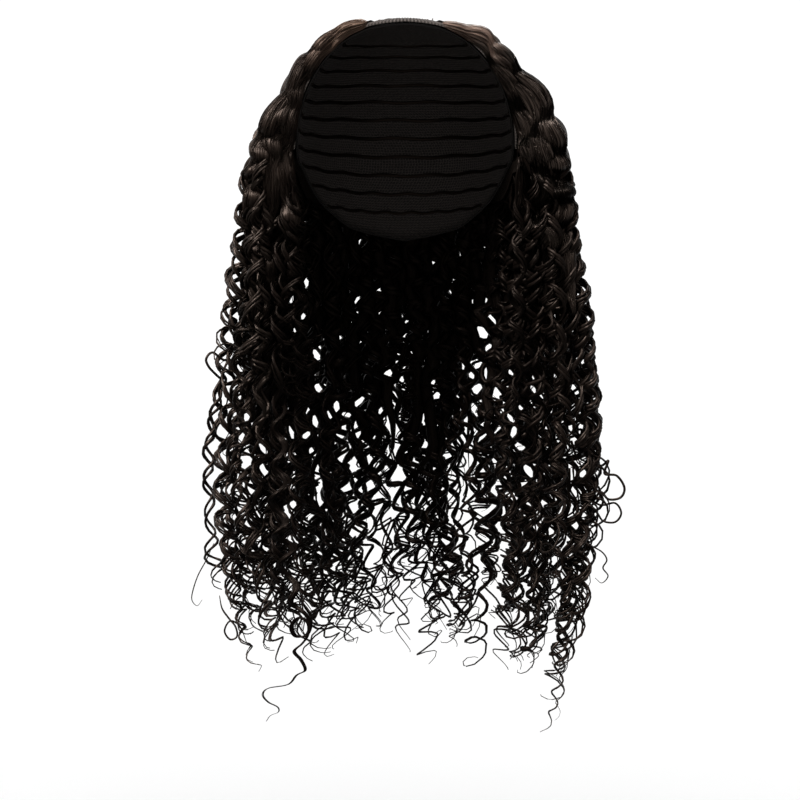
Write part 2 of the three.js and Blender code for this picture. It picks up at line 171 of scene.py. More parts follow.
# ---------------------------------------------------------------------------
# Meshes from arrays
# ---------------------------------------------------------------------------
class Batch:
    """Collects tubes and grids, and makes one joined mesh of them."""

    def __init__(self):
        self.verts, self.quads, self.tris = [], [], []
        self.quv, self.tuv = [], []  # strand coordinates per corner
        self.qstrip, self.tstrip = [], []  # strip number per face
        self.shade, self.along = [], []
        self.n = 0
        self.strips = 0
        self.tubes_only = True

    def tube(self, path, rn, rb, n, b, sides, shade, s, grain=1.0, lobes=1.0, along=None):
        count = len(path)
        a = (np.arange(sides) + 0.5) * 2 * np.pi / sides
        ring = (
            path[:, None, :]
            + (rn[:, None] * np.cos(a)[None, :] * lobes)[:, :, None] * n[:, None, :]
            + (rb[:, None] * np.sin(a)[None, :] * lobes)[:, :, None] * b[:, None, :]
        )
        self.verts.append(ring.reshape(-1, 3))
        i = np.arange(count - 1)[:, None] * sides
        k = np.arange(sides)[None, :]
        k2 = (k + 1) % sides
        q = np.stack([i + k, i + k2, i + sides + k2, i + sides + k], -1).reshape(-1, 4)
        self.quads.append(q + self.n)
        length = max(s[-1] - s[0], 1e-6)
        v = s
        off = 1.37 * (self.strips % 97)
        u0 = np.broadcast_to(k / sides, (count - 1, sides))
        u1 = np.broadcast_to((k + 1) / sides, (count - 1, sides))
        v0 = np.broadcast_to(v[:-1, None], (count - 1, sides))
        v1 = np.broadcast_to(v[1:, None], (count - 1, sides))
        uv = np.stack(
            [
                np.stack([off + u0 * grain, v0], -1),
                np.stack([off + u1 * grain, v0], -1),
                np.stack([off + u1 * grain, v1], -1),
                np.stack([off + u0 * grain, v1], -1),
            ],
            2,
        ).reshape(-1, 4, 2)
        self.quv.append(uv)
        f0 = 0.01 + 0.98 * (v0 - s[0]) / length
        f1 = 0.01 + 0.98 * (v1 - s[0]) / length
        strip = np.stack(
            [
                np.stack([self.strips + 0.1 + 0.8 * u0, f0], -1),
                np.stack([self.strips + 0.1 + 0.8 * u1, f0], -1),
                np.stack([self.strips + 0.1 + 0.8 * u1, f1], -1),
                np.stack([self.strips + 0.1 + 0.8 * u0, f1], -1),
            ],
            2,
        ).reshape(-1, 4, 2)
        self.qstrip.append(strip)
        for end in (0, count - 1):
            base = end * sides
            fan = [
                (base, base + j, base + j + 1) if end else (base, base + j + 1, base + j)
                for j in range(1, sides - 1)
            ]
            fan = np.array(fan)
            self.tris.append(fan + self.n)
            corner = (fan - base) / sides
            self.tuv.append(np.stack([corner * grain, np.full_like(corner, v[end])], -1))
            rim = np.where(corner > 0, 0.008, 0.001)
            self.tstrip.append(
                np.stack([self.strips + 0.1 + 0.8 * corner, 1 - rim if end else rim], -1)
            )
        self.shade.append(np.repeat(np.broadcast_to(shade, count), sides).astype(float))
        self.along.append(np.repeat((s - s[0]) / length if along is None else along, sides))
        self.n += count * sides
        self.strips += 1

    def grid(self, pts, uv, shade, closed=False, flip=False):
        """A sheet of points [row][column][xyz], with strand coordinates."""
        r, c = pts.shape[:2]
        self.tubes_only = False
        self.verts.append(pts.reshape(-1, 3))
        cols = c if closed else c - 1
        i = np.arange(r - 1)[:, None]
        k = np.arange(cols)[None, :]
        k2 = (k + 1) % c
        corners = [(i, k), (i, k2), (i + 1, k2), (i + 1, k)]
        if flip:
            corners = corners[::-1]
        q = np.stack([a * c + b for a, b in corners], -1).reshape(-1, 4)
        self.quads.append(q + self.n)
        flat = uv.reshape(-1, 2)
        self.quv.append(flat[q])
        lo, hi = flat.min(0), flat.max(0)
        norm = (flat - lo) / np.maximum(hi - lo, 1e-9)
        norm[:, 0] = self.strips + 0.02 + 0.96 * norm[:, 0]
        self.qstrip.append(norm[q])
        self.shade.append(np.broadcast_to(shade, (r, c)).reshape(-1).astype(float))
        self.along.append(np.broadcast_to(np.linspace(0, 1, r)[:, None], (r, c)).reshape(-1))
        start = self.n
        self.n += r * c
        self.strips += 1
        return start

    def triangles(self):
        return 2 * sum(map(len, self.quads)) + sum(map(len, self.tris))

    def build(self, name):
        me = bpy.data.meshes.new(name)
        verts = np.concatenate(self.verts) * MM
        quads = np.concatenate(self.quads)
        tris = np.concatenate(self.tris) if self.tris else np.zeros((0, 3), int)
        me.vertices.add(len(verts))
        me.vertices.foreach_set("co", verts.astype(np.float32).ravel())
        loops = np.concatenate([quads.ravel(), tris.ravel()]).astype(np.int32)
        me.loops.add(len(loops))
        me.loops.foreach_set("vertex_index", loops)
        starts = np.concatenate(
            [np.arange(len(quads)) * 4, len(quads) * 4 + np.arange(len(tris)) * 3]
        )
        me.polygons.add(len(starts))
        me.polygons.foreach_set("loop_start", starts.astype(np.int32))
        me.polygons.foreach_set("use_smooth", np.ones(len(starts), bool))
        me.update(calc_edges=True)
        strand = np.concatenate(
            [np.concatenate(self.quv).reshape(-1, 2)]
            + ([np.concatenate(self.tuv).reshape(-1, 2)] if self.tuv else [])
        )
        strips = np.concatenate(
            [np.concatenate(self.qstrip).reshape(-1, 2)]
            + ([np.concatenate(self.tstrip).reshape(-1, 2)] if self.tstrip else [])
        )
        strips = strips / np.array([self.strips, 1.0])
        layer = me.uv_layers.new(name="strand")
        layer.data.foreach_set("uv", strand.astype(np.float32).ravel())
        if self.tubes_only:
            layer = me.uv_layers.new(name="OFBake")
            layer.data.foreach_set("uv", strips.astype(np.float32).ravel())
        for key, values in (("shade", self.shade), ("along", self.along)):
            at = me.attributes.new(key, "FLOAT", "POINT")
            at.data.foreach_set("value", np.concatenate(values).astype(np.float32))
        me.validate()
        ob = bpy.data.objects.new(name, me)
        bpy.context.scene.collection.objects.link(ob)
        return ob


# ---------------------------------------------------------------------------
# Materials
# ---------------------------------------------------------------------------
def new_material(name):
    m = bpy.data.materials.new(name)
    m.use_nodes = True
    nt = m.node_tree
    nt.nodes.clear()
    out = nt.nodes.new("ShaderNodeOutputMaterial")
    bsdf = nt.nodes.new("ShaderNodeBsdfPrincipled")
    nt.links.new(bsdf.outputs[0], out.inputs[0])
    return m, nt, bsdf


def hair_material(name, dark, light, grain=9.0, bump=0.8, ior=1.13, root=None, shine=(0.35, 0.65), fade=0.21, matt=(0.27, 0.44)):
    m, nt, bsdf = new_material(name)
    link = nt.links.new
    uv = nt.nodes.new("ShaderNodeUVMap")
    uv.uv_map = "strand"
    mapping = nt.nodes.new("ShaderNodeMapping")
    mapping.inputs["Scale"].default_value = (grain, 0.05, 1.0)
    link(uv.outputs[0], mapping.inputs[0])
    noise = nt.nodes.new("ShaderNodeTexNoise")
    noise.noise_dimensions = "3D"
    noise.inputs["Scale"].default_value = 1.0
    noise.inputs["Detail"].default_value = 2.0
    link(mapping.outputs[0], noise.inputs["Vector"])
    shade = nt.nodes.new("ShaderNodeAttribute")
    shade.attribute_name = "shade"
    add = nt.nodes.new("ShaderNodeMath")
    add.operation = "ADD"
    link(noise.outputs[0], add.inputs[0])
    link(shade.outputs["Fac"], add.inputs[1])
    ramp = nt.nodes.new("ShaderNodeMapRange")
    ramp.inputs["From Min"].default_value = 0.35
    ramp.inputs["From Max"].default_value = 1.1
    link(add.outputs[0], ramp.inputs["Value"])
    mix = nt.nodes.new("ShaderNodeMix")
    mix.data_type = "RGBA"
    mix.inputs[6].default_value = (*dark, 1)
    mix.inputs[7].default_value = (*light, 1)
    link(ramp.outputs[0], mix.inputs[0])
    colour = mix.outputs[2]
    # Painted light: the roots are painted lighter and warmer for the light on the top of the head, and partly also
    # with a browner tint of the hair. It fades out along the strand.
    if root:
        along = nt.nodes.new("ShaderNodeAttribute")
        along.attribute_name = "along"
        near = nt.nodes.new("ShaderNodeMapRange")
        near.inputs["From Min"].default_value = 0.07
        near.inputs["From Max"].default_value = fade
        near.inputs["To Min"].default_value = 1.0
        near.inputs["To Max"].default_value = 0.0
        link(along.outputs["Fac"], near.inputs["Value"])
        streak = nt.nodes.new("ShaderNodeMapRange")
        streak.inputs["From Min"].default_value = 0.36
        streak.inputs["From Max"].default_value = 0.66
        link(noise.outputs[0], streak.inputs["Value"])
        mul = nt.nodes.new("ShaderNodeMath")
        mul.operation = "MULTIPLY"
        link(near.outputs[0], mul.inputs[0])
        link(streak.outputs[0], mul.inputs[1])
        root_sheen_mix = nt.nodes.new("ShaderNodeMix")
        root_sheen_mix.data_type = "RGBA"
        link(mul.outputs[0], root_sheen_mix.inputs[0])
        link(colour, root_sheen_mix.inputs[6])
        root_sheen_mix.inputs[7].default_value = (*root, 1)
        colour = root_sheen_mix.outputs[2]
    link(colour, bsdf.inputs["Base Color"])
    rough = nt.nodes.new("ShaderNodeMapRange")
    rough.inputs["From Min"].default_value = 0.3
    rough.inputs["From Max"].default_value = 0.7
    rough.inputs["To Min"].default_value = matt[0]
    rough.inputs["To Max"].default_value = matt[1]
    link(noise.outputs[0], rough.inputs["Value"])
    link(rough.outputs[0], bsdf.inputs["Roughness"])
    bsdf.inputs["IOR"].default_value = ior
    gloss = nt.nodes.new("ShaderNodeMapRange")
    gloss.inputs["From Min"].default_value = 0.38
    gloss.inputs["From Max"].default_value = 0.62
    gloss.inputs["To Min"].default_value = shine[0]
    gloss.inputs["To Max"].default_value = shine[1]
    link(noise.outputs[0], gloss.inputs["Value"])
    level = gloss.outputs[0]
    # The shade attribute also scales the gloss here. The painted shade in the notches and at the bend takes the
    # gloss away, and the painted light near the crests keeps it.
    if root:
        wave = nt.nodes.new("ShaderNodeMapRange")
        wave.inputs["From Min"].default_value = -0.4
        wave.inputs["From Max"].default_value = 0.22
        wave.inputs["To Min"].default_value = 0.06
        wave.inputs["To Max"].default_value = 1.0
        link(shade.outputs["Fac"], wave.inputs["Value"])
        both = nt.nodes.new("ShaderNodeMath")
        both.operation = "MULTIPLY"
        link(level, both.inputs[0])
        link(wave.outputs[0], both.inputs[1])
        level = both.outputs[0]
    link(level, bsdf.inputs["Specular IOR Level"])
    bsdf.inputs["Specular Tint"].default_value = (1.0, 0.74, 0.6, 1.0)
    bp = nt.nodes.new("ShaderNodeBump")
    bp.inputs["Strength"].default_value = bump
    bp.inputs["Distance"].default_value = 0.0006
    link(noise.outputs[0], bp.inputs["Height"])
    link(bp.outputs[0], bsdf.inputs["Normal"])
    return m


def net_material(name):
    m, nt, bsdf = new_material(name)
    link = nt.links.new
    uv = nt.nodes.new("ShaderNodeUVMap")
    uv.uv_map = "strand"
    voro = nt.nodes.new("ShaderNodeTexVoronoi")
    voro.voronoi_dimensions = "2D"
    voro.feature = "DISTANCE_TO_EDGE"
    voro.inputs["Scale"].default_value = 0.55
    voro.inputs["Randomness"].default_value = 0.35
    link(uv.outputs[0], voro.inputs["Vector"])
    ramp = nt.nodes.new("ShaderNodeMapRange")
    ramp.inputs["From Min"].default_value = 0.05
    ramp.inputs["From Max"].default_value = 0.22
    ramp.inputs["To Min"].default_value = 1.0
    ramp.inputs["To Max"].default_value = 0.0
    link(voro.outputs["Distance"], ramp.inputs["Value"])
    mix = nt.nodes.new("ShaderNodeMix")
    mix.data_type = "RGBA"
    mix.inputs[6].default_value = (0.005, 0.0042, 0.0038, 1)
    mix.inputs[7].default_value = (0.024, 0.020, 0.018, 1)
    link(ramp.outputs[0], mix.inputs[0])
    link(mix.outputs[2], bsdf.inputs["Base Color"])
    bsdf.inputs["Roughness"].default_value = 0.85
    bsdf.inputs["IOR"].default_value = 1.2
    bp = nt.nodes.new("ShaderNodeBump")
    bp.inputs["Strength"].default_value = 0.8
    bp.inputs["Distance"].default_value = 0.0004
    link(ramp.outputs[0], bp.inputs["Height"])
    link(bp.outputs[0], bsdf.inputs["Normal"])
    return m


def elastic_material(name):
    m, nt, bsdf = new_material(name)
    link = nt.links.new
    uv = nt.nodes.new("ShaderNodeUVMap")
    uv.uv_map = "strand"
    noise = nt.nodes.new("ShaderNodeTexNoise")
    noise.inputs["Scale"].default_value = 1.1
    noise.inputs["Detail"].default_value = 3.0
    link(uv.outputs[0], noise.inputs["Vector"])
    ramp = nt.nodes.new("ShaderNodeMapRange")
    ramp.inputs["From Min"].default_value = 0.06
    ramp.inputs["From Max"].default_value = 0.6
    shade = nt.nodes.new("ShaderNodeAttribute")
    shade.attribute_name = "shade"
    dim = nt.nodes.new("ShaderNodeMath")
    dim.operation = "MULTIPLY"
    link(noise.outputs[0], dim.inputs[0])
    link(shade.outputs["Fac"], dim.inputs[1])
    link(dim.outputs[0], ramp.inputs["Value"])
    mix = nt.nodes.new("ShaderNodeMix")
    mix.data_type = "RGBA"
    mix.inputs[6].default_value = (0.022, 0.017, 0.014, 1)
    mix.inputs[7].default_value = (0.235, 0.198, 0.178, 1)
    link(ramp.outputs[0], mix.inputs[0])
    link(mix.outputs[2], bsdf.inputs["Base Color"])
    bsdf.inputs["Roughness"].default_value = 0.8
    bsdf.inputs["Specular IOR Level"].default_value = 0.3
    bp = nt.nodes.new("ShaderNodeBump")
    bp.inputs["Strength"].default_value = 0.5
    bp.inputs["Distance"].default_value = 0.0004
    link(noise.outputs[0], bp.inputs["Height"])
    link(bp.outputs[0], bsdf.inputs["Normal"])
    return m


HAIR = hair_material("curled_hair", (0.0006, 0.0005, 0.00042), (0.0026, 0.0018, 0.0014), ior=1.14)
# Painted shade: a darker, less glossy copy of the curled hair, for the curls on the right side.
RIGHT_HAIR_PAINTED_SHADE = hair_material(
    "curled_hair_right_painted_shade", (0.0005, 0.0004, 0.00034), (0.0022, 0.0015, 0.0012), bump=0.6, ior=1.125
)
CROWN_HAIR = hair_material(
    "crown_hair", (0.0005, 0.0004, 0.00035), (0.0020, 0.0014, 0.0011), grain=1.0, bump=0.8
)
# The root colours of the combed hair are painted light on the top of the head, partly with a browner tint of the
# hair.
CLUMP_HAIR = hair_material(
    "combed_hair", (0.0002, 0.00016, 0.00013), (0.0026, 0.0017, 0.0013), bump=1.0, ior=1.165,
    root=(0.050, 0.030, 0.021), shine=(0.05, 0.95),
)
# Painted light: a lighter copy of the combed hair for the left side of the crown, with lighter roots. It is also
# rougher.
LEFT_CLUMP_HAIR_PAINTED_LIGHT = hair_material(
    "combed_hair_left_painted_light", (0.0004, 0.0003, 0.00024), (0.0032, 0.0021, 0.0016), bump=1.0, ior=1.175,
    root=(0.054, 0.033, 0.023), shine=(0.1, 0.9), matt=(0.33, 0.48),
)
# Painted shade: a darker copy of the combed hair for the right side of the crown. It is glossier, with brighter
# painted light at the roots.
RIGHT_CLUMP_HAIR_PAINTED_SHADE = hair_material(
    "combed_hair_right_painted_shade", (0.0002, 0.00016, 0.00013), (0.0012, 0.0008, 0.0006), bump=1.0, ior=1.29,
    root=(0.060, 0.039, 0.030), shine=(0.0, 1.0), fade=0.19, matt=(0.21, 0.34),
)
# Painted shade: a darker, less glossy copy of the curled hair, for the inner locks and the front lock.
DARK_HAIR_PAINTED_SHADE = hair_material(
    "inner_hair", (0.0004, 0.0003, 0.00026), (0.0015, 0.0010, 0.0008), ior=1.09
)
NET = net_material("stretch_net")
ELASTIC = elastic_material("ribbed_elastic")


# ---------------------------------------------------------------------------
# Cap: net wall with sewn rows on the inside
# ---------------------------------------------------------------------------
def make_cap():
    b = Batch()
    turns = np.arange(120) * 3.0
    folded = np.abs((turns + 180) % 360 - 180)
    edge = cap_edge(folded)
    f = np.linspace(0.01, 1, 34)
    polar = f[:, None] * edge[None, :]
    turn = np.broadcast_to(turns[None, :], polar.shape)
    uv = np.stack(
        [np.sin(np.radians(polar)) * np.radians(turn) * 80.0, polar * 1.55], -1
    )
    outer = on_cap(turn, polar, CAP_WALL)
    inner = on_cap(turn, polar, 0.0)
    o = b.grid(outer, uv, 0.5, closed=True, flip=True)
    i = b.grid(inner, uv, 0.5, closed=True)
    c = len(turns)
    k = np.arange(c)
    k2 = (k + 1) % c
    last = (len(f) - 1) * c
    rim = np.stack([o + last + k, i + last + k, i + last + k2, o + last + k2], -1)
    top = np.stack([o + k, o + k2, i + k2, i + k], -1)
    for extra in (rim[:, ::-1], top[:, ::-1]):
        b.quads.append(extra)
        b.quv.append(np.zeros((c, 4, 2)))
        b.qstrip.append(np.full((c, 4, 2), 0.01))
    return b


def make_wefts():
    """Rows of sewn hair track on the cap's inside."""
    b = Batch()
    rng = np.random.default_rng(31)
    for polar in np.arange(30.0, 118.0, 8.2):
        start = np.interp(polar, CAP_EDGE[:, 1], CAP_EDGE[:, 0]) + 3
        n = 90
        turn = np.linspace(start, 360 - start, n)
        folded = np.abs((turn + 180) % 360 - 180)
        ok = cap_edge(folded) > polar + 1.5
        turn = turn[ok]
        if len(turn) < 8:
            continue
        wob = 0.35 * np.sin(np.arange(len(turn)) * 0.5 + rng.uniform(0, 6))
        path = on_cap(turn, polar + wob, -0.25)
        t = np.gradient(path, axis=0)
        t /= np.linalg.norm(t, axis=1)[:, None]
        out = path - np.array([0, 0, -IN_TOP])
        nn = out - (out * t).sum(1)[:, None] * t
        nn /= np.linalg.norm(nn, axis=1)[:, None]
        bb = np.cross(t, nn)
        s = np.r_[0, np.cumsum(np.linalg.norm(np.diff(path, axis=0), axis=1))]
        b.tube(path, np.full(len(path), 0.4), np.full(len(path), 1.3), nn, bb, 6, 0.4, s)
    return b


# ---------------------------------------------------------------------------
# Elastic band
# ---------------------------------------------------------------------------
def make_band():
    b = Batch()
    n = 560
    turn = np.linspace(-BAND_END_TURN, BAND_END_TURN, n)
    front = cap_edge(np.abs(turn)) - 0.3
    mid = front - BAND_WIDE / 2
    line = on_cap(turn, mid, BAND_TOP)
    s = np.r_[0, np.cumsum(np.linalg.norm(np.diff(line, axis=0), axis=1))]
    sides = 14
    a = np.arange(sides) * 2 * np.pi / sides
    ca, sa = np.cos(a), np.sin(a)
    e = 2 / 5.0
    across = np.sign(ca) * np.abs(ca) ** e  # -1 back edge, 1 front edge
    height = np.sign(sa) * np.abs(sa) ** e
    rib = 0.5 + 0.5 * np.cos(2 * np.pi * s / 2.3)
    rings = []
    for j in range(sides):
        top = height[j] > 0.3
        lift = (BAND_LIFT + BAND_TOP) / 2 + height[j] * (BAND_TOP - BAND_LIFT) / 2 * 0.9
        lift = lift + (0.5 * (rib - 0.5) if top else 0.0)
        rings.append(on_cap(turn, mid + across[j] * BAND_WIDE / 2 * 0.97, lift))
    pts = np.stack(rings, 1)  # [n][sides]
    uv = np.stack(
        [
            np.broadcast_to(s[:, None], (n, sides)),
            np.broadcast_to(np.arange(sides)[None, :] * 1.4, (n, sides)),
        ],
        -1,
    )
    # Painted shade in the grooves between the ribs. The lower front face is darker too.
    tone_with_painted_light = np.where((across > 0.8) & (height < -0.3), 0.25, 1.0)[None, :] * (0.2 + 0.8 * rib**1.5)[:, None]
    start = b.grid(pts, uv, tone_with_painted_light, closed=True, flip=True)
    for end in (0, n - 1):
        base = start + end * sides
        fan = np.array([(base, base + j, base + j + 1) for j in range(1, sides - 1)])
        b.tris.append(fan if end == 0 else fan[:, ::-1])
        b.tuv.append(np.zeros((len(fan), 3, 2)))
        b.tstrip.append(np.full((len(fan), 3, 2), 0.01))
    return b


# ---------------------------------------------------------------------------
# Hair guides. On each side, c runs from the front edge (0) to the middle of the
# back (1), and d from the cap (0) to the outside of the hair (1).
# ---------------------------------------------------------------------------
def relax(path, rounds):
    for _ in range(rounds):
        path[1:-1] = 0.5 * path[1:-1] + 0.25 * (path[:-2] + path[2:])
    return path


def resample(path, step):
    d = np.r_[0, np.cumsum(np.linalg.norm(np.diff(path[:, :3], axis=0), axis=1))]
    n = max(6, int(d[-1] / step) + 1)
    s = np.linspace(0, d[-1], n)
    return np.stack([np.interp(s, d, col) for col in path.T], 1), s


def through(points, per):
    """A smooth line through points (Catmull-Rom), with per steps between them."""
    p = np.concatenate([2 * points[:1] - points[1:2], points, 2 * points[-1:] - points[-2:-1]])
    f = np.linspace(0, 1, per, endpoint=False)[:, None]
    out = []
    for i in range(1, len(p) - 2):
        a, b, c, d = p[i - 1 : i + 3]
        out.append(
            0.5 * (2 * b + (c - a) * f + (2 * a - 5 * b + 4 * c - d) * f**2 + (3 * b - a - 3 * c + d) * f**3)
        )
    out.append(p[-2:-1])
    return np.concatenate(out)


def waver(rng, s, waves):
    """A smooth random curve: a sum of long waves (length, size)."""
    return sum(
        size * np.sin(2 * np.pi * s / (length * rng.uniform(0.8, 1.25)) + rng.uniform(0, 6.28))
        for length, size in waves
    )


def frames(path):
    t = np.gradient(path, axis=0)
    t /= np.linalg.norm(t, axis=1)[:, None]
    centre = np.stack(
        [0 * path[:, 0], np.full(len(path), 8.0), np.minimum(path[:, 2], -IN_TOP)], 1
    )
    out = path - centre
    n = out - (out * t).sum(1)[:, None] * t
    n /= np.linalg.norm(n, axis=1)[:, None] + 1e-9
    return t, n, np.cross(t, n)


def outside(q, room):
    """Moves points that are too near the cap, or the band on it, out to its top."""
    d = q - np.array([0, 0, -IN_TOP])
    far = np.linalg.norm(d, axis=1) + 1e-9
    polar = np.degrees(np.arccos(np.clip(d[:, 2] / far, -1, 1)))
    turn = np.degrees(np.arctan2(d[:, 0], -d[:, 1]))
    floor_at = on_cap(turn, polar, hair_under(np.abs(turn), polar) + room)
    least = np.linalg.norm(floor_at - np.array([0, 0, -IN_TOP]), axis=1)
    k = np.where(q[:, 2] > -190, np.maximum(least / far, 1.0), 1.0)
    ahead = smooth((polar - cap_edge(np.abs(turn))) / 2.0)
    plain = on_cap(turn, polar, room + 0 * polar)
    open_at = np.linalg.norm(plain - np.array([0, 0, -IN_TOP]), axis=1)
    free = np.where(q[:, 2] > -190, np.maximum(open_at / far, 1.0), 1.0)
    k = k + (free - k) * ahead
    return np.array([0, 0, -IN_TOP]) + d * k[:, None]


# Places where daylight shows between the locks, as seen from the front: x and z on
# the plane y = 0, and half width.
GAPS = np.array(
    [
        (-71, -186, 1.5), (-81, -198, 1.6), (-73, -211, 1.9), (-68, -222, 2.2), (-80, -220, 1.3),
        (-64, -238, 2.3), (-63, -262, 2.9), (-54, -281, 2.7), (-50, -275, 2.2), (-70, -279, 1.8),
        (-65, -286, 2.4), (-82, -294, 2.0), (-71, -296, 2.5), (-68, -307, 1.8),
        (-119, -248, 1.7), (-127, -254, 1.6), (-114, -283, 3.0), (-118, -298, 1.5), (-102, -306, 1.8),
        (-114, -316, 2.4), (-102, -321, 1.8),
        (50, -199, 1.8), (59, -199, 1.6), (63, -213, 2.2), (56, -222, 2.5), (60, -233, 2.3),
        (53, -246, 1.9), (59, -252, 2.0), (48, -253, 2.1), (76, -251, 1.9), (53, -263, 2.2),
        (66, -265, 1.8), (49, -276, 2.3), (70, -279, 1.7), (83, -276, 1.6), (76, -284, 1.9),
        (78, -294, 2.8), (57, -297, 2.2), (89, -322, 2.8),
        (108, -210, 2.2), (108, -234, 1.4), (92, -263, 2.3), (122, -263, 2.0), (119, -291, 1.5),
        (128, -324, 2.2),
    ],
    float,
)


def part(q, rad):
    """Bows a strand round the gaps between the locks."""
    near = GAPS[(GAPS[:, 1] < q[:, 2].max() + 12) & (GAPS[:, 1] > q[:, 2].min() - 12)]
    if not len(near):
        return q
    k = 1800.0 / (1800.0 + q[:, 1])
    x = -3.6 + (q[:, 0] + 3.6) * k
    z = -270.7 + (q[:, 2] + 270.7) * k
    rad = np.broadcast_to(rad, len(q))
    s = np.r_[0, np.cumsum(np.linalg.norm(np.diff(q, axis=0), axis=1))]
    for _ in range(3):
        for gx, gz, r in near:
            # a slit, longer than it is wide and aslant
            long = 1.7 + 0.5 * math.sin(7.0 * gx + 3.0 * gz)
            slant = 0.7 * math.sin(2.3 * gx + 5.1 * gz)
            co, si = math.cos(slant), math.sin(slant)
            r = 0.66 * r
            dx, dz = (x - gx) * co + (z - gz) * si, ((z - gz) * co - (x - gx) * si) / long
            far = np.hypot(dx, dz)
            hit = np.nonzero(far < r + rad)[0]
            if not len(hit):
                continue
            for run in np.split(hit, np.nonzero(np.diff(hit) > 3)[0] + 1):
                i = run[np.argmin(far[run])]
                ux, uz = dx[i], dz[i]
                if far[i] < 0.3:
                    a, b = max(i - 1, 0), min(i + 1, len(x) - 1)
                    ux, uz = dz[b] - dz[a], dx[a] - dx[b]
                size = math.hypot(ux, uz) + 1e-9
                reach = r + rad[i]
                w = (reach - far[i]) / size * np.exp(-(((s - s[i]) / (1.4 * reach + 2)) ** 2))
                x = x + (ux * co - uz * long * si) * w
                z = z + (ux * si + uz * long * co) * w
    return np.stack([-3.6 + (x + 3.6) / k, q[:, 1], -270.7 + (z + 270.7) / k], 1)


def dome(side, c, d, p0, p1):
    p = np.arange(p0, p1, 1.5)
    edge = np.interp(p, HAIR_EDGE[:, 0], HAIR_EDGE[:, 1])
    t = edge + c * (180 - edge)
    rise = smooth((p - p0) / 17 + 0.05)
    lift = hair_under(t, p) + 0.5 + d * hair_thickness(side, t, p) * rise
    return on_cap(side * t, p, lift)


def side_guide(side, c, d, p0, tip, flare=0.0):
    """Root on the cap at polar p0, over the dome, then down the curtain to tip."""
    top = dome(side, c, d, p0, 122)
    low = np.nonzero(top[:, 2] < SPLIT_Z + 3)[0]
    top = top[: max(low[0], 2)] if len(low) else top
    z = np.arange(SPLIT_Z - 3, tip, -4.0)
    turn = FRONT_TURN + c * (180 - FRONT_TURN)
    # a lock that has not risen from the cap yet goes on rising as it falls
    risen = smooth(1.5 * len(top) / 17 + 0.05)
    deep = d * (risen + (1 - risen) * smooth((SPLIT_Z - z) / 75))
    deep = deep + flare * smooth((-z - 190) / 140)
    fall = on_curtain(side * turn, deep, z)
    if side < 0:
        fall[:, 0] *= 1 - 0.1 * smooth((-z - 360) / 90)
    else:
        fall[:, 0] *= 1 + 0.035 * smooth((-z - 112) / 40) * (1 - smooth((-z - 270) / 80))
    path = np.concatenate([top, fall])
    path, _ = resample(path, 4.0)
    relax(path, 8)
    return resample(path, 1.0)


def back_line(x0, d, upto=121.0):
    """From just behind the bare band, back over the crown. x0: -1 left, 1 right."""
    psi = np.arange(-17.0, upto, 1.5)
    beta = np.radians(x0 * (12.0 + 45.0 * smooth((psi + 12) / 110)))
    ps = np.radians(psi)
    dirs = np.stack([np.sin(beta), np.cos(beta) * np.sin(ps), np.cos(beta) * np.cos(ps)], 1)
    polar = np.degrees(np.arccos(np.clip(dirs[:, 2], -1, 1)))
    turn = np.degrees(np.arctan2(dirs[:, 0], -dirs[:, 1]))
    reach = smooth((psi + 10) / 55)
    lift = HAIR_LIFT + 0.3 + 0.6 * reach
    lift = lift + d * reach * np.interp(polar, CROWN[:, 0], CROWN[:, 4])
    return on_cap(turn, polar, lift), turn


def back_guide(x0, d, tip):
    top, turn = back_line(x0, d)
    low = np.nonzero(top[:, 2] < SPLIT_Z + 3)[0]
    cut = low[0] if len(low) else len(top)
    z = np.arange(SPLIT_Z - 3, tip, -4.0)
    path = np.concatenate([top[:cut], on_curtain(turn[cut - 1], d, z)])
    path, _ = resample(path, 4.0)
    relax(path, 8)
    return resample(path, 1.0)


# ---------------------------------------------------------------------------
# Curls. Waves of neighbouring locks run together near the roots, as one sheet of
# combed hair, and each lock goes its own way further down.
# ---------------------------------------------------------------------------
TURNS = {}
for _side in (-1, 1):
    _rng = np.random.default_rng(11 + _side)
    TURNS[_side] = [(k, a, _rng.uniform(0, 6.28)) for k, a in ((2, 1.6), (5, 1.0), (11, 0.5))]


def common_phase(side, c):
    return sum(a * math.sin(2 * math.pi * k * c + f) for k, a, f in TURNS[side])


